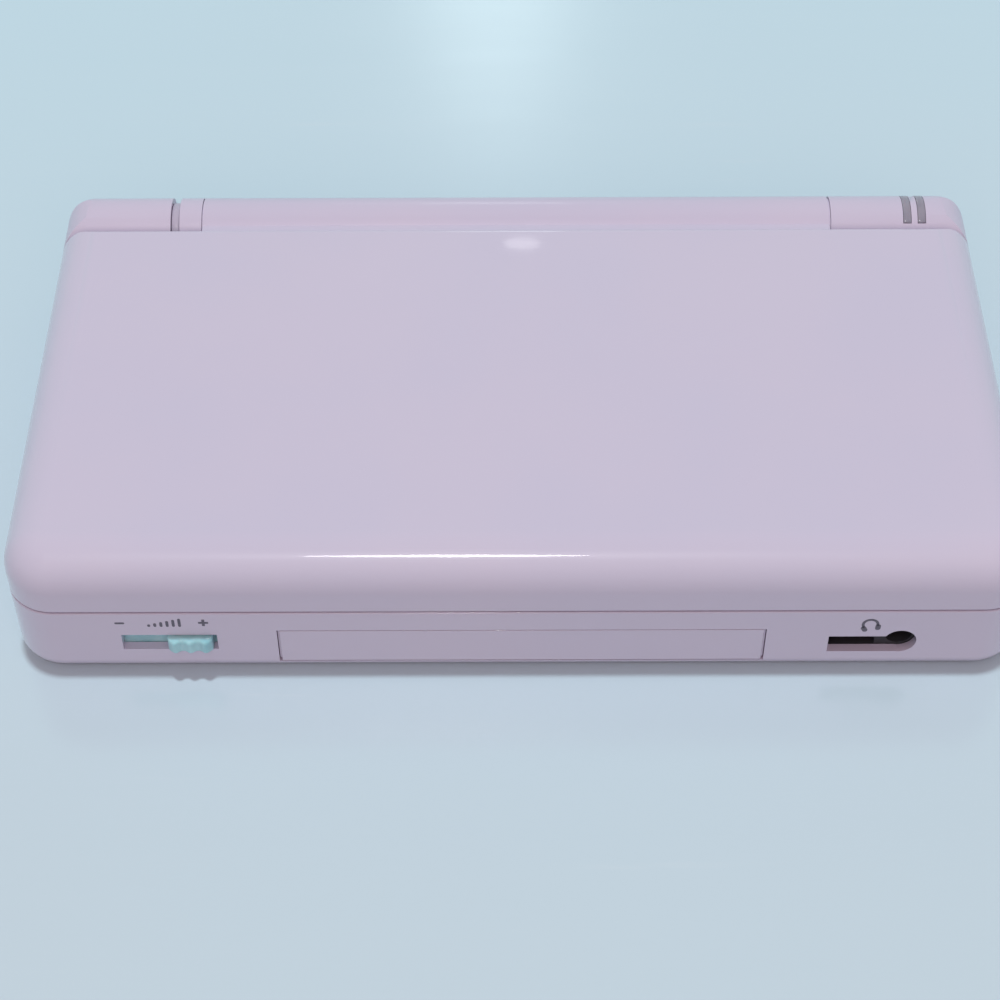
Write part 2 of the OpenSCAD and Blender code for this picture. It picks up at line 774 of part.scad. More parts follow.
module volume_switch() color("dimgray") {
    y0 = front_y + wall + carriage_t + 3 * fit_gap;
    box([volume_left - 1, y0, board_z - switch_h], [volume_right + 1, y0 + switch_d, board_z - fit_gap]);
}

module power_switch() color("dimgray") {
    x1 = right_x - wall - carriage_t - 3 * fit_gap;
    box([x1 - switch_d, power_y - power_slot_w / 2 - 1, board_z - switch_h],
        [x1, power_y + power_slot_w / 2 + 1, board_z - fit_gap]);
}

module stylus_silo() color(face_pink) {
    x0 = right_x - stylus_len - 1;
    difference() {
        rod_x(x0, right_x - wall - fit_gap, stylus_y, stylus_z, silo_bore_r + silo_wall);
        rod_x(x0 - over, right_x, stylus_y, stylus_z, silo_bore_r);
    }
}

module dome_sheet(r, places, dome_r) {
    translate([0, 0, sheet_z]) cylinder(h = sheet_t, r = r);
    for (p = places) translate([p.x, p.y, sheet_z]) cylinder(h = sheet_t + dome_h, r = dome_r);
}

module pad_membrane() color("lightgray") {
    places = [for (a = [0 : 90 : 270]) pad_dome_at * [cos(a), sin(a)]];
    translate([-control_x, -control_y, 0]) dome_sheet(pad_sheet_r, places, pad_dome_r);
}

module button_membrane() color("lightgray") {
    places = [for (a = [0 : 90 : 270]) button_pitch * [cos(a), sin(a)]];
    translate([control_x, -control_y, 0])
        dome_sheet(button_pitch + button_r, places, button_r - 2 * dome_inset);
}

module small_membrane() color("lightgray") {
    for (p = small_pos) translate([p.x, p.y, 0])
        dome_sheet(small_r + 2 * dome_inset, [[0, 0]], small_r - dome_inset);
}

module lower_lcd() color("dimgray") {
    w = screen_w + 2 * module_margin;
    h = screen_h + 2 * module_margin;
    translate([-w / 2, -screen_y - h / 2, plate_z - fit_gap - lower_lcd_t])
        cube([w, h, lower_lcd_t]);
}

// Outline of the glass in front of either screen.
module glass_outline(grow) {
    w = screen_w / 2 + glass_margin + grow;
    h = screen_h / 2 + glass_margin + grow;
    round_rect(-w, -screen_y - h, w, -screen_y + h, 1.2);
}

module screen_outline() {
    translate([0, -screen_y]) square([screen_w, screen_h], center = true);
}

module touch_glass() color([0.25, 0.27, 0.30]) {
    translate([0, 0, face_z - glass_t]) linear_extrude(glass_t) glass_outline(-fit_gap);
}

// Outline of the base's face plate.
module face_outline(grow) {
    plan(right_x - wall - fit_gap + grow, front_y + wall + fit_gap - grow,
         lid_rear_y - fit_gap + grow, front_corner_r - wall, 1);
}

module face_plate() color(face_pink) {
    difference() {
        translate([0, 0, plate_z]) linear_extrude(plate_t) difference() {
            face_outline(0);
            screen_outline();
            translate([-control_x, -control_y])
                cross(pad_span + 2 * button_gap, pad_arm + 2 * button_gap);
            for (a = [0 : 90 : 270]) translate([control_x, -control_y])
                translate(button_pitch * [cos(a), sin(a)]) circle(button_r + button_gap);
            for (p = small_pos) translate(p) circle(small_r + button_gap);
        }
        translate([0, 0, face_z - glass_t - fit_gap / 2]) linear_extrude(glass_t + over)
            glass_outline(0);
    }
}

// Lamp window in the right ear, bent round the hinge's axis.
module lamp(i, grow) {
    translate([led_x + i * led_pitch, hinge_y, hinge_z]) rotate([0, 90, 0])
        rotate([0, 0, 90 + led_from - (grow > 0 ? 1 : 0)])
            translate([0, 0, -led_w / 2 - grow])
                rotate_extrude(angle = led_to - led_from + (grow > 0 ? 2 : 0))
                    translate([hinge_r - led_t - grow, 0])
                        square([led_t + (grow > 0 ? over : led_proud), led_w + 2 * grow]);
}

module led_windows() color("slategray") {
    for (i = [0, 1]) lamp(i, 0);
}

// ---------------------------------------------------------------- hinge

module hinge_unit() color("silver") {
    x0 = left_ear_x - hinge_unit_len;
    difference() {
        union() {
            rod_x(x0, left_ear_x + fit_gap, hinge_y, hinge_z, bush_r);
            rod_x(left_ear_x + fit_gap / 2, collar_x0 - fit_gap, hinge_y, hinge_z, hinge_disc_r);
        }
        rod_x(x0 + 1.5, collar_x0 + over, hinge_y, hinge_z, shaft_r + run_gap);
    }
}

module hinge_shaft() color("lightgray") {
    rod_x(left_ear_x - hinge_unit_len + 1.5 + fit_gap, barrel_x0 + shaft_in_barrel - fit_gap,
          hinge_y, hinge_z, shaft_r);
}

module hinge_collar() color(shell_pink) {
    difference() {
        rod_x(collar_x0, collar_x1, hinge_y, hinge_z, hinge_r);
        rod_x(collar_x0 - over, collar_x1 + over, hinge_y, hinge_z, shaft_r + fit_gap / 2);
    }
}

module ribbon_bush() color("silver") {
    difference() {
        rod_x(barrel_x1 - bush_in_barrel, right_ear_x + bush_in_ear, hinge_y, hinge_z, bush_r);
        rod_x(barrel_x1 - bush_in_barrel - over, right_ear_x + bush_in_ear + over,
              hinge_y, hinge_z, bush_r - bush_wall);
    }
}

// Flat cable rolled up inside the bush.
module screen_ribbon() color("darkorange") {
    r = bush_r - bush_wall - free_gap;
    x0 = barrel_x1 - bush_in_barrel - ribbon_tail + fit_gap;
    x1 = right_ear_x + bush_in_ear - 0.5;
    difference() {
        rod_x(x0, x1, hinge_y, hinge_z, r);
        rod_x(x0 - over, x1 + over, hinge_y, hinge_z, r - ribbon_t);
        box([x0 - over, hinge_y - 0.4, hinge_z], [x1 + over, hinge_y + 0.4, hinge_z + hinge_r]);
    }
}

// ---------------------------------------------------------------- controls

module direction_pad() color(face_pink) {
    top = face_z + button_proud;
    translate([-control_x, -control_y, 0]) difference() {
        union() {
            translate([0, 0, pad_hub_top - fit_gap]) linear_extrude(top - pad_hub_top + fit_gap)
                cross(pad_span, pad_arm);
            translate([0, 0, pad_hub_top - pad_hub_t]) cylinder(h = pad_hub_t, r = pad_hub_r);
        }
        // thumb dimple
        translate([0, 0, top + pad_dimple_r * 2.2]) sphere(pad_dimple_r * 2.35);
        // seat of the pivot
        translate([0, 0, pad_hub_top - pad_hub_t]) sphere(pad_pivot_r + run_gap);
    }
}

// Low round head that the direction pad rocks on.
module pad_pivot() color("gray") {
    translate([-control_x, -control_y, pad_hub_top - pad_hub_t]) rotate_extrude() intersection() {
        circle(pad_pivot_r);
        translate([0, sheet_top + fit_gap - pad_hub_top + pad_hub_t]) square(2 * pad_pivot_r);
    }
}

// Round button in the face plate, with its flange underneath.
module face_button(x, y, r) {
    translate([x, y, 0]) {
        cap(r, flange_top - fit_gap, face_z + button_proud);
        translate([0, 0, flange_top - flange_t]) cylinder(h = flange_t, r = r + flange_over);
    }
}

module top_button() color(face_pink) face_button(control_x, -control_y + button_pitch, button_r);
module bottom_button() color(face_pink) face_button(control_x, -control_y - button_pitch, button_r);
module left_button() color(face_pink) face_button(control_x - button_pitch, -control_y, button_r);
module right_button() color(face_pink) face_button(control_x + button_pitch, -control_y, button_r);
module start_button() color(face_pink) face_button(small_pos[0].x, small_pos[0].y, small_r);
module select_button() color(face_pink) face_button(small_pos[1].x, small_pos[1].y, small_r);

// Volume knob: a tall middle in the slot, three ridges, and a carriage behind
// the wall that keeps the slot shut over the whole travel.
module volume_knob() color([0.54, 0.71, 0.78]) {
    x1 = volume_right - volume_knob_gap;
    x0 = x1 - volume_knob_w;
    z0 = slot_z + slot_lift - volume_slot_h / 2 + knob_h_gap;
    z1 = z0 + volume_slot_h - 2 * knob_h_gap;
    ridges = 3;
    box([x0, front_y - knob_proud + ridge_r, z0], [x1, front_y + wall + 2 * fit_gap, z1]);
    for (i = [0 : ridges - 1])
        translate([x0 + volume_knob_w * (i + 0.5) / ridges, front_y - knob_proud + ridge_r, z0])
            cylinder(h = z1 - z0, r = ridge_r);
    box([volume_left - carriage_lap, front_y + wall + fit_gap, z0 - carriage_over],
        [volume_right + volume_travel + carriage_lap, front_y + wall + fit_gap + carriage_t,
         z1 + carriage_over / 2]);
}

// Power knob with its carriage, on the right wall.
module power_knob() color(face_pink) {
    y0 = power_y - power_slot_w / 2 + knob_h_gap;
    y1 = y0 + power_knob_w;
    z0 = power_z - power_slot_h / 2 + knob_h_gap;
    z1 = power_z + power_slot_h / 2 - knob_h_gap;
    ridges = 3;
    box([right_x - wall - 2 * fit_gap, y0, z0], [right_x + power_proud - ridge_r, y1, z1]);
    for (i = [0 : ridges - 1])
        translate([right_x + power_proud - ridge_r, y0 + power_knob_w * (i + 0.5) / ridges, z0])
            cylinder(h = z1 - z0, r = ridge_r);
    box([right_x - wall - fit_gap - carriage_t, y0 - carriage_over, z0 - carriage_over],
        [right_x - wall - fit_gap, y1 + carriage_over / 2, z1 + knob_h_gap]);
}

// Trigger at the rear right corner: a bent shell on a pivot boss.
module trigger_body() {
    difference() {
        translate([0, 0, trigger_z]) linear_extrude(trigger_h) difference() {
            intersection() {
                plan(right_x, front_y, rear_y, front_corner_r, hinge_r);
                translate([trigger_x0, trigger_y0]) square([trigger_w, trigger_d]);
            }
            intersection() {
                plan(right_x - trigger_wall, front_y, rear_y - trigger_wall,
                     front_corner_r, hinge_r - trigger_wall);
                translate([trigger_x0 - over, trigger_y0 - over]) square([trigger_w, trigger_d]);
            }
        }
        trigger_bore();
    }
    difference() {
        translate([pivot.x, pivot.y, trigger_z]) cylinder(h = pivot_boss_h, r = pivot_boss_r);
        trigger_bore();
    }
}

module trigger_bore() {
    translate([pivot.x, pivot.y, trigger_z - over])
        cylinder(h = trigger_h + 2 * over, r = trigger_pin_r + run_gap);
}

module trigger_pin() {
    translate([pivot.x, pivot.y, trigger_z - pocket_gap - pin_seat + fit_gap])
        cylinder(h = trigger_h + 2 * (pocket_gap + pin_seat - fit_gap), r = trigger_pin_r);
}

// Wire along a route whose stretches run nearly level.
module wire(route, r) {
    last = len(route) - 1;
    sides = 8;
    rings = [for (i = [0 : last]) let (
        ahead = route[min(i + 1, last)] - route[max(i - 1, 0)],
        side = cross(ahead, [0, 0, 1]) / norm(cross(ahead, [0, 0, 1])),
        up = cross(side, ahead) / norm(ahead)
    ) for (k = [0 : sides - 1]) route[i] + r * (cos(k * 360 / sides) * side + sin(k * 360 / sides) * up)];
    walls = [for (i = [0 : last - 1], k = [0 : sides - 1]) let (n = (k + 1) % sides)
        [i * sides + k, i * sides + n, (i + 1) * sides + n, (i + 1) * sides + k]];
    ends = [[for (k = [sides - 1 : -1 : 0]) k], [for (k = [0 : sides - 1]) last * sides + k]];
    polyhedron(rings, concat(walls, ends), convexity = 8);
}

// Torsion spring on the pin, above the trigger's boss: one leg lies along the
// pocket's wall, the other along the trigger's rear wall.
module trigger_spring() {
    steps = 14;                            // per turn
    z0 = trigger_z + pivot_boss_h + spring_wire_r + fit_gap;
    coil = [for (i = [0 : spring_turns * steps]) let (a = i * 360 / steps)
        [spring_coil_r * sin(a), -spring_coil_r * cos(a), z0 + spring_pitch * i / steps]];
    top = z0 + spring_pitch * (spring_turns + 0.5);
    half = [for (i = [1 : steps / 2 - 1]) let (a = i * 360 / steps)
        [spring_coil_r * sin(a), -spring_coil_r * cos(a), top - spring_pitch * (0.5 - i / steps)]];
    legs = [[-2.8, -spring_coil_r, z0], [-spring_coil_r, -spring_coil_r, z0]];
    end_leg = [[0, spring_coil_r, top], [-1.8, spring_coil_r, top]];
    translate([pivot.x, pivot.y, 0]) wire(concat(legs, coil, half, end_leg), spring_wire_r);
}

module right_trigger() color(shell_pink) trigger_body();
module left_trigger() color(shell_pink) mirror([1, 0, 0]) trigger_body();
module right_trigger_pin() color("silver") trigger_pin();
module left_trigger_pin() color("silver") mirror([1, 0, 0]) trigger_pin();
module right_trigger_spring() color("silver") trigger_spring();
module left_trigger_spring() color("silver") mirror([1, 0, 0]) trigger_spring();

// Stylus: head at the right wall, a slimmer shaft and a rounded tip.
module stylus() color("white") {
    translate([right_x, stylus_y, stylus_z]) rotate([0, -90, 0]) rotate_extrude() polygon([
        [0, 0], [stylus_r - 0.3, 0], [stylus_r, 0.3], [stylus_r, stylus_head_len],
        [stylus_neck_r, stylus_head_len + 0.6], [stylus_neck_r, stylus_len - stylus_tip_len],
        [stylus_tip_r, stylus_len - stylus_tip_r], [0, stylus_len]
    ]);
}

// Cover of the cartridge slot: a front plate with two guide arms.
module cartridge_cover() color(shell_pink) {
    x0 = cover_x - cover_w / 2;
    x1 = cover_x + cover_w / 2;
    box([x0, front_y, cover_z], [x1, front_y + cover_t, cover_z + cover_h]);
    for (s = [-1, 1]) translate([cover_x + s * (cartridge_w / 2 - cover_gap - cover_arm / 2), 0, 0])
        box([-cover_arm / 2, front_y + cover_t - fit_gap, cover_z + fit_gap],
            [cover_arm / 2, front_y + cover_t + cover_arm_len, cover_z + cover_arm_h]);
}

// ---------------------------------------------------------------- lid

// Section of the barrel with its web to the lid, seen from the side.
module barrel_section() {
    translate([hinge_y, hinge_z]) circle(hinge_r);
    translate([lid_rear_y - wall, lid_z]) square([hinge_y - lid_rear_y + wall, lid_h - valley_h]);
}

module lid_shell() color(shell_pink) {
    inner_r = lid_edge_r - wall;
    difference() {
        union() {
            difference() {
                slab(right_x, front_y, lid_rear_y, lid_z, lid_top,
                     front_corner_r, 0, rim_edge_r, lid_edge_r);
                // rounded rear top edge
                along_x(-right_x - over, right_x + over) difference() {
                    translate([lid_rear_y - lid_rear_r, lid_top - lid_rear_r])
                        square(lid_rear_r + over);
                    translate([lid_rear_y - lid_rear_r, lid_top - lid_rear_r]) circle(lid_rear_r);
                }
            }
            along_x(barrel_x0, barrel_x1) barrel_section();
        }
        slab(right_x - wall, front_y + wall, lid_rear_y - wall, lid_z - over, lid_top - wall,
             front_corner_r - wall, 0, 0, inner_r);
        // bores for the shaft, the bush with its ribbon, and the microphone
        rod_x(barrel_x0 - over, barrel_x0 + shaft_in_barrel, hinge_y, hinge_z, shaft_r + fit_gap / 2);
        rod_x(barrel_x1 - bush_in_barrel - ribbon_tail, barrel_x1 + over, hinge_y, hinge_z,
              bush_r + run_gap);
        rod_x(-mic_hollow_w / 2, mic_hollow_w / 2, hinge_y, hinge_z, mic_hollow_r);
        translate([0, hinge_y, lid_z - over]) cylinder(h = over + hinge_r - 2, r = mic_hole_r);
    }
    // screw bosses
    for (p = bumper_pos) translate([p.x, p.y, frame_top + fit_gap]) difference() {
        cylinder(h = lid_top - wall / 2 - frame_top - fit_gap, r = boss_r);
        translate([0, 0, -over]) cylinder(h = lid_screw_len + over, r = pilot_r + 2 * fit_gap);
    }
}

module lid_frame() color(face_pink) {
    difference() {
        translate([0, 0, frame_z]) linear_extrude(plate_t) difference() {
            plan(right_x - wall - fit_gap, front_y + wall + fit_gap, lid_rear_y - wall - fit_gap,
                 front_corner_r - wall, 1);
            screen_outline();
            for (s = [-1, 1], i = [-1, 1], j = [-1, 0, 1])
                translate([s * speaker_x + i * speaker_hole_pitch / 2,
                           -screen_y + j * speaker_hole_pitch]) circle(speaker_hole_r);
            for (p = bumper_pos) translate(p) circle(screw_r + fit_gap);
        }
        translate([0, 0, frame_z - over]) linear_extrude(over + glass_t + fit_gap / 2)
            glass_outline(0);
        for (p = bumper_pos) translate([p.x, p.y, frame_z - over])
            cylinder(h = over + bumper_seat + fit_gap, r = bumper_r + fit_gap);
    }
}

module upper_lens() color([0.25, 0.27, 0.30]) {
    translate([0, 0, frame_z]) linear_extrude(glass_t) glass_outline(-fit_gap);
}

module upper_lcd() color("dimgray") {
    w = screen_w + 2 * module_margin;
    h = screen_h + 2 * module_margin;
    translate([-w / 2, -screen_y - h / 2, frame_top + fit_gap]) cube([w, h, upper_lcd_t]);
}

// Round loudspeaker with a domed magnet cup.
module speaker(x) {
    translate([x, -screen_y, frame_top + fit_gap]) {
        cylinder(h = speaker_t * 0.5, r = speaker_r);
        cylinder(h = speaker_t, r = speaker_r * 0.6);
    }
}

module left_speaker() color("dimgray") speaker(-speaker_x);
module right_speaker() color("dimgray") speaker(speaker_x);

module microphone() color("silver") {
    translate([0, hinge_y, hinge_z - mic_hollow_r + 0.42]) cylinder(h = mic_h, r = mic_r);
}

module lid_bumpers() color("gray") {
    for (p = bumper_pos) translate([p.x, p.y, 0])
        rotate_extrude() edge_section(bumper_r, face_z + bumper_gap, frame_z + bumper_seat, 0.5, 0);
}

module lid_screws() color("silver") {
    // heads between the bumpers and the frame's seats
    for (p = bumper_pos) translate([p.x, p.y, frame_z + bumper_seat + fit_gap])
        cylinder(h = plate_t + lid_screw_len - bumper_seat - 3 * fit_gap, r = screw_r);
}

base_tub();
battery_cover();
battery_cover_screw();
base_screws();
feet();
battery();
main_board();
wifi_board();
cartridge_connector();
card_cage();
power_socket();
headphone_jack();
volume_switch();
power_switch();
stylus_silo();
pad_membrane();
button_membrane();
small_membrane();
lower_lcd();
touch_glass();
face_plate();
led_windows();
left_trigger_pin();
right_trigger_pin();
left_trigger_spring();
right_trigger_spring();
hinge_unit();
ribbon_bush();
pad_pivot();
direction_pad();
top_button();
bottom_button();
left_button();
right_button();
start_button();
select_button();
power_knob();
volume_knob();
left_trigger();
right_trigger();
stylus();
cartridge_cover();
lid_shell();
lid_frame();
upper_lens();
upper_lcd();
left_speaker();
right_speaker();
microphone();
lid_bumpers();
lid_screws();
hinge_shaft();
hinge_collar();
screen_ribbon();
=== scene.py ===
"""Looks of a clamshell handheld game console, closed on a pale brushed table."""

import json
import logging
import math
from collections.abc import Iterable
from dataclasses import dataclass
from enum import Enum
from functools import cache
from typing import Any, Protocol

import bmesh
import bpy
from mathutils import Matrix, Vector


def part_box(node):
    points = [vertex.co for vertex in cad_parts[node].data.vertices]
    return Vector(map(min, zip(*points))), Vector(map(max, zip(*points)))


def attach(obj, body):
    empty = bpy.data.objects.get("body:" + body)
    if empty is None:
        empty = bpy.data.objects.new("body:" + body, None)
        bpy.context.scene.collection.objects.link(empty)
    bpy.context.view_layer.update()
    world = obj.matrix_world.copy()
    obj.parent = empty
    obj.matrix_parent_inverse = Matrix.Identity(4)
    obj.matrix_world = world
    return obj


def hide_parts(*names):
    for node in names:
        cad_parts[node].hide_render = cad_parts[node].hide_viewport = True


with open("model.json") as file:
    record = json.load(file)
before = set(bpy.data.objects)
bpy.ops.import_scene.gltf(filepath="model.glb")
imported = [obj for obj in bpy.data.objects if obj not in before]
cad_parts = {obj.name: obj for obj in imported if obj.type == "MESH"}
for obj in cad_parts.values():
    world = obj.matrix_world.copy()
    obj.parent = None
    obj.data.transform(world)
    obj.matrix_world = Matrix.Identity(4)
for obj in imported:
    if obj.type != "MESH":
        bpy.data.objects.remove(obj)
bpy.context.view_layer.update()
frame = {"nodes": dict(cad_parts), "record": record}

log = logging.getLogger("console")

Colour = tuple[float, float, float]
Stretch = tuple[float, float, float]

MM = 0.001
MERGE = 0.001 * MM
FLAT = math.radians(0.4)
CREASE = math.radians(32)
EVEN: Stretch = (1.0, 1.0, 1.0)


# ---------- shader kit


@dataclass(frozen=True)
class Signal:
    """A value in a material: the output socket that carries it, with arithmetic."""

    shade: "Shade"
    socket: bpy.types.NodeSocket

    def _math(self, operation: str, first: "Signal | float", second: "Signal | float") -> "Signal":
        """Adds one Math node.

        Args:
            operation: Name of the Math node's operation.
            first: First value, a number or a signal.
            second: Second value, a number or a signal.

        Returns:
            The result as a signal.
        """
        node = self.shade.node("ShaderNodeMath", {"operation": operation}, {0: first, 1: second})
        return Signal(self.shade, node.outputs[0])

    def __add__(self, other: "Signal | float") -> "Signal":
        """Sum of two values."""
        return self._math("ADD", self, other)

    __radd__ = __add__

    def __sub__(self, other: "Signal | float") -> "Signal":
        """Difference of two values."""
        return self._math("SUBTRACT", self, other)

    def __rsub__(self, other: "Signal | float") -> "Signal":
        """Difference where the signal stands second."""
        return self._math("SUBTRACT", other, self)

    def __mul__(self, other: "Signal | float") -> "Signal":
        """Product of two values."""
        return self._math("MULTIPLY", self, other)

    def __abs__(self) -> "Signal":
        """Size of the value without its sign."""
        return self._math("ABSOLUTE", self, 0.0)

    def higher(self, other: "Signal | float") -> "Signal":
        """The higher of two values."""
        return self._math("MAXIMUM", self, other)

    def wave(self, length: float) -> "Signal":
        """A sine wave of the given length over the value, from -1 to 1."""
        return self._math("SINE", self * (2 * math.pi / length), 0.0)

    def rise(self, low: float, high: float) -> "Signal":
        """Smooth step of the value.

        Args:
            low: Value where the step starts, at 0.
            high: Value where the step ends, at 1.

        Returns:
            The step as a signal.
        """
        node = self.shade.node(
            "ShaderNodeMapRange",
            {"interpolation_type": "SMOOTHSTEP"},
            {"Value": self, "From Min": low, "From Max": high},
        )
        return Signal(self.shade, node.outputs[0])


class Shade:
    """A material that is being put together."""

    def __init__(self, name: str) -> None:
        """Starts a material with a Principled surface.

        Args:
            name: Name of the material.
        """
        self.material = bpy.data.materials.new(name)
        self.material.use_nodes = True
        self.tree = self.material.node_tree
        self.surface = self.tree.nodes["Principled BSDF"]

    def put(self, socket: bpy.types.NodeSocket, value: Any) -> None:
        """Sets a socket to a value or links a signal to it.

        Args:
            socket: The input socket.
            value: A signal, an output socket or a constant.
        """
        if isinstance(value, Signal):
            value = value.socket
        if isinstance(value, bpy.types.NodeSocket):
            self.tree.links.new(value, socket)
        elif isinstance(value, tuple) and len(value) == 3 and socket.type == "RGBA":
            socket.default_value = (*value, 1.0)
        else:
            socket.default_value = value

    def node(
        self,
        kind: str,
        settings: dict[str, Any] | None = None,
        inputs: dict[Any, Any] | None = None,
    ) -> bpy.types.Node:
        """Adds a node.

        Args:
            kind: The node's type.
            settings: The node's own settings.
            inputs: Values or links of its sockets, by name or number.

        Returns:
            The node.
        """
        made = self.tree.nodes.new(kind)
        for key, value in (settings or {}).items():
            setattr(made, key, value)
        for key, value in (inputs or {}).items():
            self.put(made.inputs[key], value)
        return made

    def feed(self, **values: Any) -> None:
        """Sets the surface's sockets, with underscores for spaces in their names."""
        for key, value in values.items():
            self.put(self.surface.inputs[key.replace("_", " ")], value)

    def place(self, stretch: Stretch) -> bpy.types.NodeSocket:
        """Place on the object in metres, stretched along the axes."""
        where = self.node("ShaderNodeTexCoord").outputs["Object"]
        made = self.node("ShaderNodeMapping", inputs={"Vector": where, "Scale": stretch})
        return made.outputs[0]

    def axis(self, index: int) -> Signal:
        """Place along one axis, in metres."""
        where = self.node("ShaderNodeTexCoord").outputs["Object"]
        return Signal(self, self.node("ShaderNodeSeparateXYZ", inputs={0: where}).outputs[index])

    def noise(
        self, size: float, detail: float = 2.0, stretch: Stretch = EVEN, rough: float = 0.5
    ) -> Signal:
        """Cloudy noise.

        Args:
            size: Size of a cloud in metres.
            detail: How many finer layers it has.
            stretch: Scale along the axes.
            rough: How strong the finer layers are.

        Returns:
            The noise, from 0 to 1, as a signal.
        """
        inputs = {
            "Vector": self.place(stretch), "Scale": 1 / size, "Detail": detail, "Roughness": rough,
        }
        return Signal(self, self.node("ShaderNodeTexNoise", inputs=inputs).outputs["Fac"])

    def cells(self, size: float, feature: str = "F1", stretch: Stretch = EVEN) -> Signal:
        """Distance in a pattern of cells.

        Args:
            size: Size of a cell in metres.
            feature: The Voronoi node's feature.
            stretch: Scale along the axes.

        Returns:
            The distance as a signal.
        """
        inputs = {"Vector": self.place(stretch), "Scale": 1 / size}
        made = self.node("ShaderNodeTexVoronoi", {"feature": feature}, inputs)
        return Signal(self, made.outputs["Distance"])

    def mix(self, share: Any, first: Any, second: Any) -> bpy.types.NodeSocket:
        """Mix of two colours.

        Args:
            share: Share of the second colour, a number or a signal.
            first: First colour or its socket.
            second: Second colour or its socket.

        Returns:
            The socket of the mixed colour.
        """
        made = self.node("ShaderNodeMix", {"data_type": "RGBA"}, {0: share, 6: first, 7: second})
        return made.outputs[2]

    def relief(self, height: Signal, depth: float) -> bpy.types.NodeSocket:
        """Normal of a surface with a fine relief, whose height runs from 0 to 1 over the depth."""
        return self.node(
            "ShaderNodeBump", inputs={"Strength": 1.0, "Distance": depth, "Height": height}
        ).outputs[0]


# ---------- finishes


class Finish(Protocol):
    """What a piece is made of."""

    def material(self) -> bpy.types.Material:
        """Makes the material once."""


@dataclass(frozen=True)
class GlossShell:
    """Lacquered shell: clouded pigment under a clear, wavy coat that is duller on the barrel."""

    name: str
    colour: Colour
    clouded: Colour
    cloud: float = 28 * MM
    wave: float = 5 * MM
    wave_depth: float = 0.0012 * MM
    barrel_front: float = 28.0 * MM
    barrel_fade: float = 1 * MM
    barrel_dulling: float = 0.8
    roughness: float = 0.3
    smears: float = 0.05
    hairs: float = 0.06
    coat_roughness: float = 0.03

    @cache
    def material(self) -> bpy.types.Material:
        """Makes the material once."""
        shade = Shade(self.name)
        cloud = shade.noise(self.cloud, 3.0).rise(0.3, 0.7)
        grain = shade.noise(0.25 * MM, 2.0)
        smears = shade.noise(18 * MM, 4.0, (1.0, 2.6, 1.0)).rise(0.5, 0.8)
        hairs = shade.noise(0.12 * MM, 1.0, (1.0, 0.03, 1.0)).rise(0.68, 0.76)
        barrel = shade.axis(1).rise(self.barrel_front, self.barrel_front + self.barrel_fade)
        shade.feed(
            Base_Color=shade.mix(cloud * 0.7 + grain * 0.3, self.colour, self.clouded),
            Roughness=self.roughness + smears * self.smears + hairs * self.hairs,
            Normal=shade.relief(shade.noise(self.wave, 1.0), self.wave_depth),
            Coat_Weight=1 - barrel * self.barrel_dulling,
            Coat_Roughness=self.coat_roughness,
            Coat_IOR=1.5,
        )
        return shade.material


@dataclass(frozen=True)
class MattePlastic:
    """Spark-eroded moulded plastic with an even grain."""

    name: str
    colour: Colour
    roughness: float = 0.42
    grain: float = 0.18 * MM
    depth: float = 0.006 * MM
    wear: float = 0.12
    cloud: float = 9 * MM

    @cache
    def material(self) -> bpy.types.Material:
        """Makes the material once."""
        shade = Shade(self.name)
        paler = tuple(channel + (1 - channel) * self.wear for channel in self.colour)
        grain = shade.noise(self.grain, 3.0)
        cloud = shade.noise(self.cloud, 3.0).rise(0.35, 0.75)
        shade.feed(
            Base_Color=shade.mix(cloud * 0.5 + grain * 0.3, self.colour, paler),
            Roughness=self.roughness + grain * 0.12,
            Normal=shade.relief(grain, self.depth),
        )
        return shade.material


@dataclass(frozen=True)
class ClearKnob:
    """Milky translucent plastic of a slider knob, paler in soft random clouds."""

    name: str
    colour: Colour
    pale: Colour
    roughness: float = 0.26
    scattering: float = 0.35
    scatter_depth: float = 0.6 * MM

    @cache
    def material(self) -> bpy.types.Material:
        """Makes the material once."""
        shade = Shade(self.name)
        depth = shade.noise(3 * MM, 1.0).rise(0.2, 0.8)
        grain = shade.noise(0.15 * MM, 2.0)
        shade.feed(
            Base_Color=shade.mix(depth, self.colour, self.pale),
            Roughness=self.roughness + grain * 0.12,
            Normal=shade.relief(grain, 0.004 * MM),
            Subsurface_Weight=self.scattering,
            Subsurface_Radius=(0.6, 1.0, 1.0),
            Subsurface_Scale=self.scatter_depth,
            Coat_Weight=0.4,
            Coat_Roughness=0.1,
        )
        return shade.material


@dataclass(frozen=True)
class Rubber:
    """Soft rubber with a dusty grain."""

    name: str
    colour: Colour
    roughness: float = 0.72
    dust: float = 0.6 * MM

    @cache
    def material(self) -> bpy.types.Material:
        """Makes the material once."""
        shade = Shade(self.name)
        dust = shade.noise(self.dust, 4.0).rise(0.5, 0.8)
        paler = tuple(channel * 0.7 + 0.12 for channel in self.colour)
        shade.feed(
            Base_Color=shade.mix(dust * 0.5, self.colour, paler),
            Roughness=self.roughness + dust * 0.15,
            Normal=shade.relief(shade.noise(0.2 * MM, 3.0), 0.01 * MM),
        )
        return shade.material


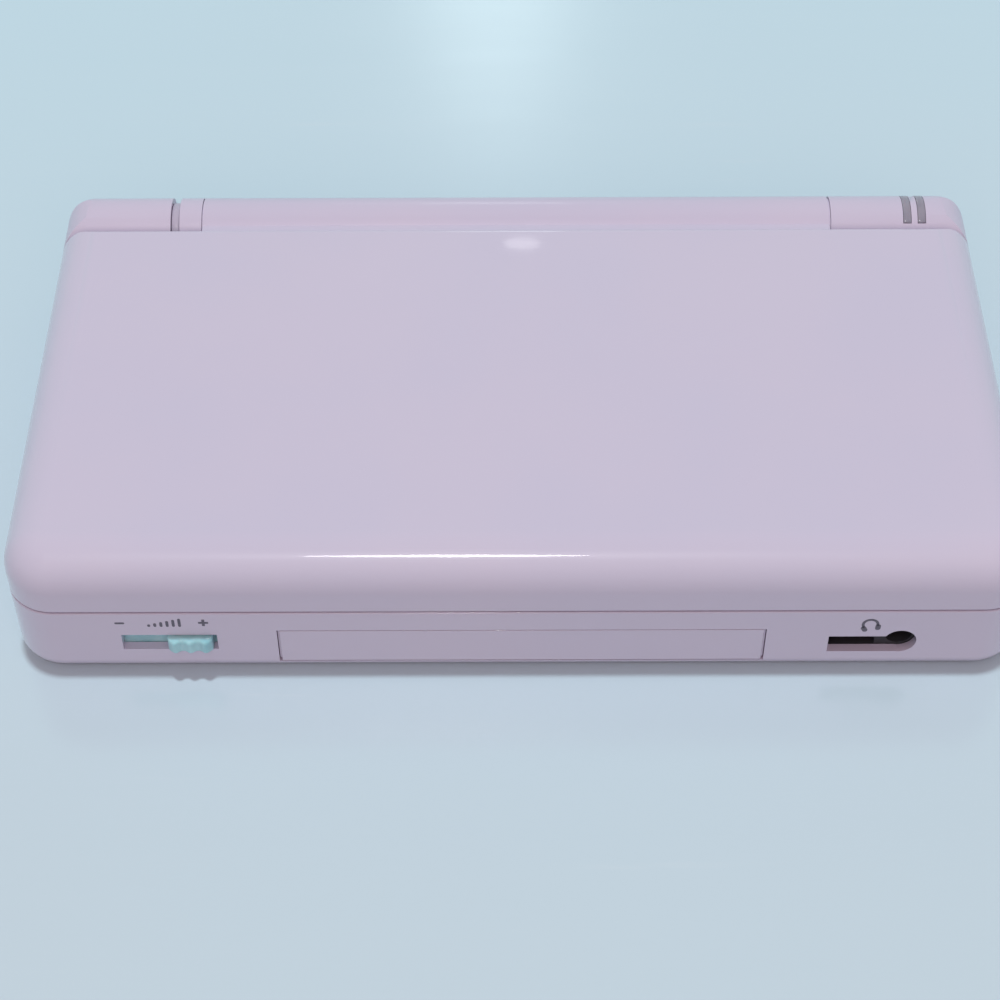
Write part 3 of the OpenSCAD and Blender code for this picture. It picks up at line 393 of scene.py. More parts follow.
@dataclass(frozen=True)
class Metal:
    """Plated or stamped metal with fine drawing lines along X."""

    name: str
    colour: Colour
    roughness: float = 0.28
    drawing: float = 0.4 * MM
    staining: float = 4 * MM

    @cache
    def material(self) -> bpy.types.Material:
        """Makes the material once."""
        shade = Shade(self.name)
        lines = shade.noise(self.drawing, 3.0, (0.08, 1.0, 1.0))
        stain = shade.noise(self.staining, 3.0).rise(0.45, 0.8)
        darker = tuple(channel * 0.72 for channel in self.colour)
        shade.feed(
            Base_Color=shade.mix(stain * 0.6 + lines * 0.2, self.colour, darker),
            Metallic=1.0,
            Roughness=self.roughness + lines * 0.14,
            Normal=shade.relief(lines, 0.002 * MM),
        )
        return shade.material


@dataclass(frozen=True)
class DisplayGlass:
    """Dark glass over a display: the picture area shows faintly inside a black border."""

    name: str
    half_width: float
    front: float
    rear: float
    border: Colour = (0.018, 0.018, 0.022)
    picture: Colour = (0.05, 0.056, 0.055)
    picture_low: Colour = (0.04, 0.047, 0.048)
    edge: float = 0.15 * MM
    row: float = 0.26 * MM

    @cache
    def material(self) -> bpy.types.Material:
        """Makes the material once."""
        shade = Shade(self.name)
        across, along = abs(shade.axis(0)), shade.axis(1)
        edge = self.edge
        inside = (
            (1 - across.rise(self.half_width - edge, self.half_width + edge))
            * along.rise(self.front - edge, self.front + edge)
            * (1 - along.rise(self.rear - edge, self.rear + edge))
        )
        rows = along.wave(self.row) * 0.04 + across.wave(self.row) * 0.04
        tone = shade.mix(shade.noise(14 * MM, 2.0) + rows, self.picture, self.picture_low)
        shade.feed(
            Base_Color=shade.mix(inside, self.border, tone),
            Roughness=0.06 + shade.noise(11 * MM, 4.0).rise(0.5, 0.85) * 0.08,
            Coat_Weight=1.0,
            Coat_Roughness=0.02,
        )
        return shade.material


@dataclass(frozen=True)
class CircuitBoard:
    """Solder resist over copper tracks, with a scatter of pads."""

    name: str
    resist: Colour = (0.012, 0.105, 0.05)
    copper: Colour = (0.02, 0.19, 0.08)
    pad: Colour = (0.62, 0.6, 0.52)
    track_pitch: float = 2.6 * MM
    pad_pitch: float = 3.1 * MM

    @cache
    def material(self) -> bpy.types.Material:
        """Makes the material once."""
        shade = Shade(self.name)
        edges = shade.cells(self.track_pitch, "DISTANCE_TO_EDGE", (1.0, 2.2, 1.0))
        tracks = edges.rise(0.08, 0.05)
        pads = shade.cells(self.pad_pitch).rise(0.16, 0.12)
        board = shade.mix(tracks, self.resist, self.copper)
        shade.feed(
            Base_Color=shade.mix(pads, board, self.pad),
            Metallic=pads * 0.8,
            Roughness=0.38 - pads * 0.1,
            Normal=shade.relief(tracks.higher(pads), 0.02 * MM),
        )
        return shade.material


@dataclass(frozen=True)
class FlatCable:
    """Amber film with copper conductors running along X."""

    name: str
    film: Colour = (0.42, 0.17, 0.03)
    conductor: Colour = (0.2, 0.07, 0.012)
    pitch: float = 0.5 * MM

    @cache
    def material(self) -> bpy.types.Material:
        """Makes the material once."""
        shade = Shade(self.name)
        lines = (shade.axis(1).wave(self.pitch) * 0.5 + 0.5).rise(0.4, 0.6)
        shade.feed(
            Base_Color=shade.mix(lines, self.film, self.conductor),
            Roughness=0.3 + lines * 0.1,
            Normal=shade.relief(lines, 0.01 * MM),
        )
        return shade.material


@dataclass(frozen=True)
class BatteryWrap:
    """Printed film round a battery, with a plain pale band."""

    name: str
    film: Colour = (0.10, 0.10, 0.115)
    band: Colour = (0.42, 0.43, 0.46)
    band_from: float = 10 * MM
    band_to: float = 17 * MM
    blur: float = 0.1 * MM

    @cache
    def material(self) -> bpy.types.Material:
        """Makes the material once."""
        shade = Shade(self.name)
        along = shade.axis(1)
        band = along.rise(self.band_from, self.band_from + self.blur)
        band = band * (1 - along.rise(self.band_to, self.band_to + self.blur))
        creases = shade.noise(5 * MM, 4.0)
        shade.feed(
            Base_Color=shade.mix(band, self.film, self.band),
            Roughness=0.32 + creases * 0.15,
            Normal=shade.relief(creases, 0.05 * MM),
        )
        return shade.material


@dataclass(frozen=True)
class Ink:
    """Printed ink, worn thin in places."""

    name: str
    colour: Colour
    worn: Colour

    @cache
    def material(self) -> bpy.types.Material:
        """Makes the material once."""
        shade = Shade(self.name)
        wear = shade.noise(0.35 * MM, 3.0).rise(0.45, 0.8)
        shade.feed(
            Base_Color=shade.mix(wear * 0.5, self.colour, self.worn),
            Roughness=0.45 + wear * 0.1,
        )
        return shade.material


@dataclass(frozen=True)
class TableTop:
    """Pale lacquered table with faint brush lines along X, with painted light: it turns paler and
    bluer towards +Y for the window's light from behind.
    """

    name: str
    # painted light: the rear colour is paler and bluer than the front, standing in for the window's
    # light at the back
    front: Colour
    rear: Colour
    turn: tuple[float, float] = (-0.12, 0.22)
    brush: float = 5 * MM

    @cache
    def material(self) -> bpy.types.Material:
        """Makes the material once."""
        shade = Shade(self.name)
        lines = shade.noise(self.brush, 5.0, (0.06, 1.0, 1.0), 0.65)
        strokes = lines.rise(0.62, 0.72) * shade.noise(60 * MM, 2.0).rise(0.45, 0.6)
        tone = shade.noise(160 * MM, 2.0, (1.0, 0.6, 1.0))
        # painted light: blend from the front colour to the paler, bluer rear over the turn span
        # along Y
        depth = shade.axis(1).rise(*self.turn) * 0.7 + tone * 0.3
        ground = shade.mix(depth, self.front, self.rear)
        pale = tuple(channel + (1 - channel) * 0.22 for channel in self.front)
        shade.feed(
            Base_Color=shade.mix(strokes * 0.35 + lines * 0.08, ground, pale),
            Roughness=0.12 + lines * 0.1,
            Normal=shade.relief(lines, 0.02 * MM),
            Specular_IOR_Level=1.0,
        )
        return shade.material


SHELL = GlossShell("shell_lacquer", (0.605, 0.512, 0.648), (0.58, 0.503, 0.648))
FACE = MattePlastic("face_plastic", (0.60, 0.50, 0.62))
WHITE = MattePlastic(
    "stylus_plastic", (0.74, 0.72, 0.76), roughness=0.35, grain=0.2 * MM, depth=0.003 * MM,
    wear=0.2,
)
AQUA = ClearKnob("slider_plastic", (0.26, 0.52, 0.60), (0.42, 0.68, 0.74))
LAMP = ClearKnob("lamp_plastic", (0.25, 0.215, 0.28), (0.31, 0.27, 0.335))
# painted shade: the hinge bush is a darker lilac than the shell so the groove beside the barrel
# reads as shaded
BUSH_WITH_PAINTED_SHADE = MattePlastic(
    "bush_plastic_with_painted_shade", (0.48, 0.41, 0.52), roughness=0.25, grain=0.2 * MM, depth=0.001 * MM,
    wear=0.1,
)
BLACK = MattePlastic(
    "black_plastic", (0.016, 0.014, 0.02), roughness=0.4, grain=0.2 * MM, depth=0.004 * MM,
    wear=0.03,
)
GREY = MattePlastic("grey_plastic", (0.2, 0.2, 0.22), roughness=0.45)
MODULE = MattePlastic("module_plastic", (0.3, 0.31, 0.33), roughness=0.4)
STEEL = Metal("bright_steel", (0.62, 0.61, 0.63))
FEET = Rubber("foot_rubber", (0.16, 0.155, 0.17))
BUMPER = Rubber("bumper_rubber", (0.5, 0.42, 0.51))
SILICONE = Rubber("dome_silicone", (0.55, 0.55, 0.56))
BOARD = CircuitBoard("circuit_board")
RIBBON = FlatCable("flat_cable")
BATTERY = BatteryWrap("battery_wrap")
INK = Ink("printed_ink", (0.115, 0.10, 0.14), (0.22, 0.19, 0.25))


# ---------- workbench


def slot_of(node: str) -> str:
    """Name of the record's material slot that a CAD node has."""
    parts = frame["record"]["subparts"]
    return next(part["material_slot"] for part in parts if part["node"] == node)


def body_of(node: str) -> str:
    """Name of the body that a CAD node belongs to."""
    bodies = frame["record"]["behaviour"]["bodies"]
    return next(body for body, nodes in bodies.items() if node in nodes)


def link(thing: bpy.types.Object) -> None:
    """Links an object to the scene."""
    bpy.context.scene.collection.objects.link(thing)


def verts_in(geometry: Iterable[Any]) -> list[bmesh.types.BMVert]:
    """The vertices among an operator's results."""
    return [item for item in geometry if isinstance(item, bmesh.types.BMVert)]


def open_edges(shape: bmesh.types.BMesh) -> list[bmesh.types.BMEdge]:
    """The edges of a bmesh that only one face has."""
    return [edge for edge in shape.edges if len(edge.link_faces) == 1]


def copy_of(node: str) -> bmesh.types.BMesh:
    """A copy of a CAD node with its doubles merged."""
    shape = bmesh.new()
    shape.from_mesh(frame["nodes"][node].data)
    bmesh.ops.remove_doubles(shape, verts=shape.verts, dist=MERGE)
    return shape


def pour(shape: bmesh.types.BMesh, into: bmesh.types.BMesh) -> None:
    """Moves one bmesh into another.

    Args:
        shape: The bmesh that is moved and freed.
        into: The bmesh that takes it.
    """
    spare = bpy.data.meshes.new("spare")
    shape.to_mesh(spare)
    shape.free()
    into.from_mesh(spare)
    bpy.data.meshes.remove(spare)


def cross(shape: bmesh.types.BMesh, reach: float, width: float) -> None:
    """Adds a flat cross: a square with an arm on each side.

    Args:
        shape: The bmesh that takes the cross.
        reach: Length from the middle to an arm's end.
        width: Width of an arm.
    """
    square = bmesh.ops.create_grid(shape, x_segments=1, y_segments=1, size=width / 2)["verts"]
    for side in list(square[0].link_faces[0].edges):
        outward = (side.verts[0].co + side.verts[1].co).normalized()
        grown = bmesh.ops.extrude_edge_only(shape, edges=[side])["geom"]
        bmesh.ops.translate(shape, verts=verts_in(grown), vec=outward * (reach - width / 2))


def put_in_scene(name: str, shape: bmesh.types.BMesh) -> bpy.types.Object:
    """Turns a finished bmesh into an object at the origin.

    Args:
        name: Name of the piece.
        shape: The shape, which is freed.

    Returns:
        The object.
    """
    mesh = bpy.data.meshes.new(name)
    shape.to_mesh(mesh)
    shape.free()
    piece = bpy.data.objects.new(name, mesh)
    link(piece)
    return piece


def smooth(piece: bpy.types.Object, angle: float = CREASE) -> None:
    """Shades a piece smoothly up to an angle, with flat faces kept flat.

    Args:
        piece: The piece.
        angle: Edges that are sharper than this stay sharp.
    """
    piece.data.shade_smooth()
    piece.data.set_sharp_from_angle(angle=angle)
    weighted = piece.modifiers.new("even_normals", "WEIGHTED_NORMAL")
    weighted.keep_sharp = True
    weighted.weight = 60


def fit(piece: bpy.types.Object, finish: Finish, body: str, slot: str, *nodes: str) -> None:
    """Gives a piece its finish and its body, and reports it.

    Args:
        piece: The piece, in place.
        finish: The finish.
        body: The body that the piece rides on.
        slot: The record's material slot; not used.
        nodes: The CAD nodes that the piece stands for.
    """
    piece.data.materials.clear()
    piece.data.materials.append(finish.material())
    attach(piece, body)
    if nodes:
        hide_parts(*nodes)
    log.info("%s rides on %s, %d faces", piece.name, body, len(piece.data.polygons))


@dataclass(frozen=True)
class Moulding:
    """A rigid piece of the frame, shown with its sharp edges rounded."""

    node: str
    finish: Finish
    edge: float = 0.1 * MM
    segments: int = 2
    sharp: float = math.radians(38)

    def build(self) -> None:
        """Copies the node, rounds its sharp outer edges and fits the copy in its place."""
        shape = copy_of(self.node)
        bmesh.ops.dissolve_limit(shape, angle_limit=FLAT, verts=shape.verts, edges=shape.edges)
        edges = [
            edge for edge in shape.edges
            if len(edge.link_faces) == 2 and edge.calc_face_angle_signed(0.0) > self.sharp
        ]
        bmesh.ops.bevel(
            shape, geom=edges, offset=self.edge, offset_type="OFFSET", affect="EDGES",
            segments=self.segments, profile=0.5, material=-1, clamp_overlap=True,
        )
        piece = put_in_scene(self.node + "_moulding", shape)
        smooth(piece)
        fit(piece, self.finish, body_of(self.node), slot_of(self.node), self.node)


def dress_nodes(nodes: Iterable[str], finish: Finish) -> None:
    """Gives CAD nodes that stay as they are their finish.

    Args:
        nodes: Names of the nodes.
        finish: The finish.
    """
    for node in nodes:
        data = frame["nodes"][node].data
        data.materials.clear()
        data.materials.append(finish.material())
        log.info("%s keeps its frame shape", node)


# ---------- fasteners


@dataclass
class CrossScrew:
    """Pan-head screw with a cross recess, seen from below."""

    radius: float = 1.7 * MM
    height: float = 0.6 * MM
    shank: float = 0.9 * MM
    length: float = 6 * MM
    arm: float = 0.95 * MM
    arm_width: float = 0.32 * MM
    depth: float = 0.4 * MM
    taper: float = 0.55
    rounding: float = 0.18 * MM
    fold: float = math.radians(50)
    sides: int = 40

    def add(self, shape: bmesh.types.BMesh, place: Vector) -> None:
        """Adds a screw to a bmesh, head down at the place.

        Args:
            shape: The bmesh that takes the screw.
            place: Middle of the head's outer face.
        """
        screw = bmesh.new()
        rim = bmesh.ops.create_circle(screw, segments=self.sides, radius=self.radius)["verts"]
        rim_edges = [edge for edge in screw.edges if edge.verts[0] in rim]
        cross(screw, self.arm, self.arm_width)
        recess = list(screw.faces)
        outline = open_edges(screw)
        bmesh.ops.triangle_fill(screw, use_beauty=True, edges=rim_edges + outline)
        bottom = verts_in(bmesh.ops.extrude_face_region(screw, geom=recess)["geom"])
        bmesh.ops.delete(screw, geom=recess, context="FACES_ONLY")
        bmesh.ops.scale(screw, verts=bottom, vec=(self.taper, self.taper, 1.0))
        bmesh.ops.translate(screw, verts=bottom, vec=(0.0, 0.0, self.depth))
        ring = [edge for edge in screw.edges if all(vert in rim for vert in edge.verts)]
        step = self.shank / self.radius
        for scale, climb in ((1.0, self.height), (step, 0.0), (1.0, self.length)):
            grown = bmesh.ops.extrude_edge_only(screw, edges=ring)["geom"]
            verts = verts_in(grown)
            bmesh.ops.scale(screw, verts=verts, vec=(scale, scale, 1.0))
            bmesh.ops.translate(screw, verts=verts, vec=(0.0, 0.0, climb))
            ring = [item for item in grown if isinstance(item, bmesh.types.BMEdge)]
        bmesh.ops.contextual_create(screw, geom=ring)
        bmesh.ops.remove_doubles(screw, verts=screw.verts, dist=MERGE)
        bmesh.ops.recalc_face_normals(screw, faces=screw.faces)
        edges = [
            edge for edge in screw.edges
            if edge.calc_face_angle(0.0) > self.fold and edge.verts[0] in rim
        ]
        bmesh.ops.bevel(
            screw, geom=edges, offset=self.rounding, offset_type="OFFSET", affect="EDGES",
            segments=3, profile=0.5, material=-1, clamp_overlap=True,
        )
        bmesh.ops.translate(screw, verts=screw.verts, vec=place)
        pour(screw, shape)


# ---------- housings


@dataclass
class HingeWashers:
    """Thin rings that fill the gaps beside the barrel to just below its surface."""

    axis: tuple[float, float] = (32.35 * MM, 16.9 * MM)
    inner: float = 3.6 * MM
    outer: float = 4.3 * MM
    right_gap: tuple[float, float] = (45.73 * MM, 45.97 * MM)
    left_gap: tuple[float, float] = (-45.83 * MM, -45.72 * MM)
    steps: int = 96

    def build(self) -> None:
        """Spins a ring for each gap round the hinge axis."""
        shape = bmesh.new()
        y, z = self.axis
        for left, right in (self.right_gap, self.left_gap):
            profile = bmesh.ops.create_grid(shape, x_segments=1, y_segments=1, size=0.5)["verts"]
            span = (right - left, self.outer - self.inner, 1.0)
            middle = ((left + right) / 2, y + (self.inner + self.outer) / 2, z)
            bmesh.ops.scale(shape, verts=profile, vec=span)
            bmesh.ops.translate(shape, verts=profile, vec=middle)
            face = profile[0].link_faces[0]
            bmesh.ops.spin(
                shape, geom=[*profile, *face.edges, face], cent=(0, y, z), axis=(1, 0, 0),
                angle=math.tau, steps=self.steps, use_merge=True,
            )
        bmesh.ops.remove_doubles(shape, verts=shape.verts, dist=MERGE)
        inside = [
            face for face in shape.faces if all(len(edge.link_faces) > 2 for edge in face.edges)
        ]
        bmesh.ops.delete(shape, geom=inside, context="FACES_ONLY")
        bmesh.ops.recalc_face_normals(shape, faces=shape.faces)
        piece = put_in_scene("hinge_washers", shape)
        smooth(piece)
        fit(piece, SHELL, body_of("lid_shell"), slot_of("lid_shell"))


@dataclass
class CoverLips:
    """Lips along both ends of the cartridge cover, set back in the gaps beside it."""

    width: float = 0.31 * MM
    set_back: float = 0.4 * MM
    depth: float = 0.8 * MM
    rounding: float = 0.06 * MM

    def build(self) -> None:
        """Builds a lip at each end of the cover."""
        low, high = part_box("cartridge_cover")
        shape = bmesh.new()
        for x in (low.x - self.width / 2, high.x + self.width / 2):
            verts = bmesh.ops.create_cube(shape, size=1.0)["verts"]
            size = (self.width, self.depth, high.z - low.z - self.width)
            middle = (x, low.y + self.set_back + self.depth / 2, (low.z + high.z) / 2)
            bmesh.ops.scale(shape, verts=verts, vec=size)
            bmesh.ops.translate(shape, verts=verts, vec=middle)
        bmesh.ops.bevel(
            shape, geom=shape.edges, offset=self.rounding, segments=2, profile=0.5,
            affect="EDGES", material=-1,
        )
        bmesh.ops.recalc_face_normals(shape, faces=shape.faces)
        piece = put_in_scene("cartridge_cover_lips", shape)
        smooth(piece)
        fit(piece, SHELL, body_of("cartridge_cover"), slot_of("cartridge_cover"))


@dataclass
class BaseHousing:
    """Tub, battery cover, cartridge cover, triggers and what closes the base."""

    seam: float = 0.12 * MM
    fine: float = 0.06 * MM

    def build(self) -> None:
        """Builds the base's shells and fasteners."""
        Moulding("base_tub", SHELL, self.seam).build()
        Moulding("battery_cover", SHELL, self.seam).build()
        Moulding("cartridge_cover", SHELL, self.fine).build()
        CoverLips().build()
        for side in ("left", "right"):
            Moulding(f"{side}_trigger", SHELL, edge=0.25 * MM, segments=3).build()
        Moulding("feet", FEET, self.fine).build()
        self.screws("base_screws", CrossScrew(length=6 * MM))
        self.screws("battery_cover_screw", CrossScrew(length=3.4 * MM))

    def screws(self, node: str, screw: CrossScrew) -> None:
        """Replaces a node of plain screws with cross-recessed ones.

        Args:
            node: The CAD node.
            screw: The screw that stands at each place.
        """
        low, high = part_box(node)
        inset = screw.radius
        across = sorted({round(low.x + inset, 6), round(high.x - inset, 6)})
        along = sorted({round(low.y + inset, 6), round(high.y - inset, 6)})
        shape = bmesh.new()
        for x in across:
            for y in along:
                screw.add(shape, Vector((x, y, low.z)))
        piece = put_in_scene(node + "_cross", shape)
        smooth(piece)
        fit(piece, STEEL, body_of(node), slot_of(node), node)


@dataclass
class LidHousing:
    """Lid shell, its inner frame, its bumpers and what shows of the hinge."""

    seam: float = 0.12 * MM
    rim: float = 0.25 * MM

    def build(self) -> None:
        """Builds the mouldings of the lid and of the hinge."""
        Moulding("lid_shell", SHELL, self.rim).build()
        Moulding("lid_frame", FACE, self.seam).build()
        Moulding("lid_bumpers", BUMPER, edge=0.15 * MM).build()
        Moulding("hinge_collar", SHELL, self.seam).build()
        # the hinge bush's darker lilac is painted shade for the groove
        Moulding("hinge_unit", BUSH_WITH_PAINTED_SHADE, self.seam).build()
        HingeWashers().build()


@dataclass
class VolumeKnob:
    """Slider knob with soft ridges; its carriage keeps the frame's shape."""

    across: int = 60
    upright: int = 16
    rounding: float = 0.5 * MM
    ridge: float = 0.4 * MM
    ridges: int = 3
    pitch: float = 1.97 * MM
    sharpness: float = 1.3
    sunk: float = 1.1 * MM
    lap: float = 0.05 * MM
    shading: float = math.radians(50)

    def build(self) -> None:
        """Builds the knob's front over the slot and the carriage behind the wall."""
        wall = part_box("base_tub")[0].y
        shape = self.carriage(wall + self.sunk)
        pour(self.front(wall), shape)
        piece = put_in_scene("volume_knob_ridged", shape)
        smooth(piece, self.shading)
        fit(piece, AQUA, body_of("volume_knob"), slot_of("volume_knob"), "volume_knob")

    def carriage(self, cut: float) -> bmesh.types.BMesh:
        """Copies the node and keeps what lies behind the wall.

        Args:
            cut: Place of the cut along Y.

        Returns:
            The carriage, closed.
        """
        shape = copy_of("volume_knob")
        bmesh.ops.bisect_plane(
            shape, geom=[*shape.verts, *shape.edges, *shape.faces], dist=MERGE,
            plane_co=(0, cut, 0), plane_no=(0, -1, 0), clear_outer=True,
        )
        bmesh.ops.contextual_create(shape, geom=open_edges(shape))
        bmesh.ops.dissolve_limit(shape, angle_limit=FLAT, verts=shape.verts, edges=shape.edges)
        bmesh.ops.recalc_face_normals(shape, faces=shape.faces)
        return shape

    def front(self, wall: float) -> bmesh.types.BMesh:
        """Draws the knob's front as a grid whose border falls back in a round.

        Args:
            wall: Place of the front wall along Y.

        Returns:
            The front, closed behind.
        """
        left, right, bottom, top = self.span(wall)
        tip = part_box("volume_knob")[0].y
        half, tall = (right - left) / 2, (top - bottom) / 2
        shape = bmesh.new()
        bmesh.ops.create_grid(shape, x_segments=self.across, y_segments=self.upright, size=1.0)
        for vert in shape.verts:
            x = half * math.sin(vert.co.x * math.pi / 2)
            z = tall * math.sin(vert.co.y * math.pi / 2)
            turn = min(abs(x) / self.pitch, self.ridges / 2)
            height = self.ridge * (0.5 + 0.5 * math.cos(math.tau * turn)) ** self.sharpness
            back = self.fall(half - abs(x)) + self.fall(tall - abs(z))
            y = tip + self.ridge - height + back
            vert.co = Vector(((left + right) / 2 + x, y, (bottom + top) / 2 + z))
        grown = bmesh.ops.extrude_edge_only(shape, edges=open_edges(shape))["geom"]
        for vert in verts_in(grown):
            vert.co.y = wall + self.sunk - self.lap
        bmesh.ops.contextual_create(shape, geom=open_edges(shape))
        bmesh.ops.recalc_face_normals(shape, faces=shape.faces)
        return shape

    def fall(self, room: float) -> float:
        """How far the front falls back at a distance from its border."""
        short = max(self.rounding - room, 0.0)
        return self.rounding - math.sqrt(self.rounding ** 2 - short ** 2)

    def span(self, wall: float) -> tuple[float, float, float, float]:
        """The knob's extent in front of the wall, measured on the node.

        Args:
            wall: Place of the front wall along Y.

        Returns:
            Lowest and highest X, lowest and highest Z.
        """
        vertices = frame["nodes"]["volume_knob"].data.vertices
        tips = [vert.co for vert in vertices if vert.co.y < wall]
        xs, zs = [tip.x for tip in tips], [tip.z for tip in tips]
        return min(xs), max(xs), min(zs), max(zs)


@dataclass
class Controls:
    """Buttons, direction pad, slider knobs, lamps and the stylus."""

    def build(self) -> None:
        """Builds the controls."""
        Moulding("face_plate", FACE).build()
        Moulding("direction_pad", FACE, edge=0.35 * MM, segments=3).build()
        for name in ("top", "bottom", "left", "right", "start", "select"):
            Moulding(f"{name}_button", FACE).build()
        VolumeKnob().build()
        Moulding("power_knob", FACE).build()
        Moulding("led_windows", LAMP, edge=0.06 * MM).build()
        Moulding("stylus", WHITE, edge=0.08 * MM).build()


@dataclass
class Displays:
    """Touch glass and upper lens with the displays that show through them."""

    width: float = 62 * MM
    depth: float = 46.6 * MM

    def build(self) -> None:
        """Builds both glasses."""
        for node in ("touch_glass", "upper_lens"):
            low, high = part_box(node)
            middle = (low.y + high.y) / 2
            front, rear = middle - self.depth / 2, middle + self.depth / 2
            glass = DisplayGlass(node + "_display", self.width / 2, front, rear)
            Moulding(node, glass, edge=0.12 * MM).build()


@dataclass
class Insides:
    """Pieces inside the shells, which keep the frame's shapes."""

    def build(self) -> None:
        """Dresses the inner pieces."""
        dress_nodes(("battery",), BATTERY)
        dress_nodes(("main_board", "wifi_board"), BOARD)
        dress_nodes(("cartridge_connector", "power_socket", "headphone_jack"), BLACK)
        steel = (
            "card_cage", "left_trigger_pin", "right_trigger_pin", "left_trigger_spring",
            "right_trigger_spring", "hinge_shaft", "lid_screws", "microphone",
        )
        dress_nodes(steel, STEEL)
        dress_nodes(("ribbon_bush",), BUSH_WITH_PAINTED_SHADE)
        grey = ("volume_switch", "power_switch", "pad_pivot", "left_speaker", "right_speaker")
        dress_nodes(grey, GREY)
        dress_nodes(("pad_membrane", "button_membrane", "small_membrane"), SILICONE)
        dress_nodes(("lower_lcd", "upper_lcd"), MODULE)
        dress_nodes(("stylus_silo",), FACE)
        dress_nodes(("screen_ribbon",), RIBBON)


# ---------- printed symbols


class Symbol(Enum):
    """Printed symbols on the front wall."""

    MINUS = "minus"
    PLUS = "plus"
    WEDGE = "wedge"
    HEADPHONES = "headphones"


@dataclass
class FrontPrint:
    """Symbols printed on the base's front wall beside the volume slot and the headphone hole."""

    proud: float = 0.015 * MM
    sunk: float = 0.03 * MM
    stroke: float = 0.38 * MM
    tilt: float = math.radians(-12)
    minus_at: tuple[float, float] = (-51.65 * MM, 10.15 * MM)
    plus_at: tuple[float, float] = (-40.8 * MM, 10.2 * MM)
    wedge_at: tuple[float, float] = (-45.9 * MM, 10.2 * MM)
    headphones_at: tuple[float, float] = (45.6 * MM, 9.35 * MM)
    bar: float = 1.3 * MM
    wedge_bars: int = 6
    wedge_step: float = 0.8 * MM
    wedge_low: float = 0.5 * MM
    wedge_climb: float = 1.15 * MM
    wedge_stroke: float = 0.4 * MM
    band_radius: float = 0.95 * MM
    band_angle: float = math.radians(230)
    band_steps: int = 28
    band_lift: float = 0.12 * MM
    cup: tuple[float, float] = (1.15 * MM, 0.72 * MM)
    cup_side: float = 0.9 * MM
    cup_drop: float = 0.65 * MM
    cup_splay: float = math.radians(14)

    def build(self) -> None:
        """Builds each symbol as a thin print."""
        shapes = {
            Symbol.MINUS: self.minus(),
            Symbol.PLUS: self.plus(),
            Symbol.WEDGE: self.wedge(),
            Symbol.HEADPHONES: self.headphones(),
        }
        for symbol, outline in shapes.items():
            self.print_on_wall(symbol, outline)

    def upright(self, x: float, z: float) -> Matrix:
        """Stands a drawing up in the XZ plane at a place."""
        return Matrix.Translation((x, 0, z)) @ Matrix.Rotation(math.pi / 2, 4, "X")

    def flat_bar(self, shape: bmesh.types.BMesh, length: float, width: float, turn: Matrix) -> None:
        """Adds a flat bar with rounded ends to a drawing in the XZ plane.

        Args:
            shape: The drawing.
            length: Length of the bar.
            width: Width of the bar.
            turn: Where the bar goes in the drawing.
        """
        verts = bmesh.ops.create_circle(
            shape, cap_ends=True, segments=16, radius=width / 2, matrix=turn
        )["verts"]
        shift = turn.to_3x3() @ Vector((1, 0, 0)) * (length - width) / 2
        for vert in verts:
            side = (vert.co - turn.translation).dot(shift)
            if abs(side) > 1e-12:
                vert.co += math.copysign(1.0, side) * shift

    def minus(self) -> bmesh.types.BMesh:
        """Draws the minus."""
        shape = bmesh.new()
        self.flat_bar(shape, self.bar, self.stroke, self.upright(*self.minus_at))
        return shape

    def plus(self) -> bmesh.types.BMesh:
        """Draws the plus."""
        shape = bmesh.new()
        cross(shape, self.bar / 2, self.stroke)
        bmesh.ops.transform(shape, matrix=self.upright(*self.plus_at), verts=shape.verts)
        return shape

    def wedge(self) -> bmesh.types.BMesh:
        """Draws the rising wedge between the minus and the plus.

        Returns:
            The drawing.
        """
        shape = bmesh.new()
        last = self.wedge_bars - 1
        for index in range(self.wedge_bars):
            height = self.wedge_low + self.wedge_climb * index / last
            x = self.wedge_at[0] + (index - last / 2) * self.wedge_step
            z = self.wedge_at[1] - self.wedge_step + height / 2
            turn = self.upright(x, z) @ Matrix.Rotation(math.pi / 2, 4, "Z")
            self.flat_bar(shape, height, self.wedge_stroke, turn)
        return shape

    def headphones(self) -> bmesh.types.BMesh:
        """Draws a headband with two ear cups.

        Returns:
            The drawing.
        """
        shape = bmesh.new()
        x, z = self.headphones_at
        centre = Vector((x, 0, z + self.band_lift))
        start = Matrix.Rotation(-self.band_angle / 2, 4, "Y")
        stroke = [
            shape.verts.new(centre + start @ Vector((0, 0, self.band_radius + side)))
            for side in (-self.stroke / 2, self.stroke / 2)
        ]
        edge = shape.edges.new(stroke)
        bmesh.ops.spin(
            shape, geom=[*stroke, edge], cent=centre, axis=(0, 1, 0), angle=self.band_angle,
            steps=self.band_steps, use_duplicate=False,
        )
        for side in (-1, 1):
            cup = self.upright(x + side * self.cup_side, z - self.cup_drop)
            cup = cup @ Matrix.Rotation(math.pi / 2 - side * self.cup_splay, 4, "Z")
            self.flat_bar(shape, *self.cup, cup)
        lean = Matrix.Rotation(self.tilt, 3, "Y")
        bmesh.ops.rotate(shape, verts=shape.verts, cent=Vector((x, 0, z)), matrix=lean)
        return shape

    def print_on_wall(self, symbol: Symbol, shape: bmesh.types.BMesh) -> None:
        """Gives a drawing its thickness and fits it on the front wall.

        Args:
            symbol: Which symbol it is.
            shape: The drawing in the XZ plane.
        """
        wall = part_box("base_tub")[0].y
        grown = bmesh.ops.extrude_face_region(shape, geom=list(shape.faces))["geom"]
        bmesh.ops.translate(shape, verts=verts_in(grown), vec=(0, self.proud + self.sunk, 0))
        bmesh.ops.translate(shape, verts=shape.verts, vec=(0, wall - self.proud, 0))
        bmesh.ops.recalc_face_normals(shape, faces=shape.faces)
        piece = put_in_scene("print_" + symbol.value, shape)
        fit(piece, INK, "base", "black_plastic")


# ---------- studio


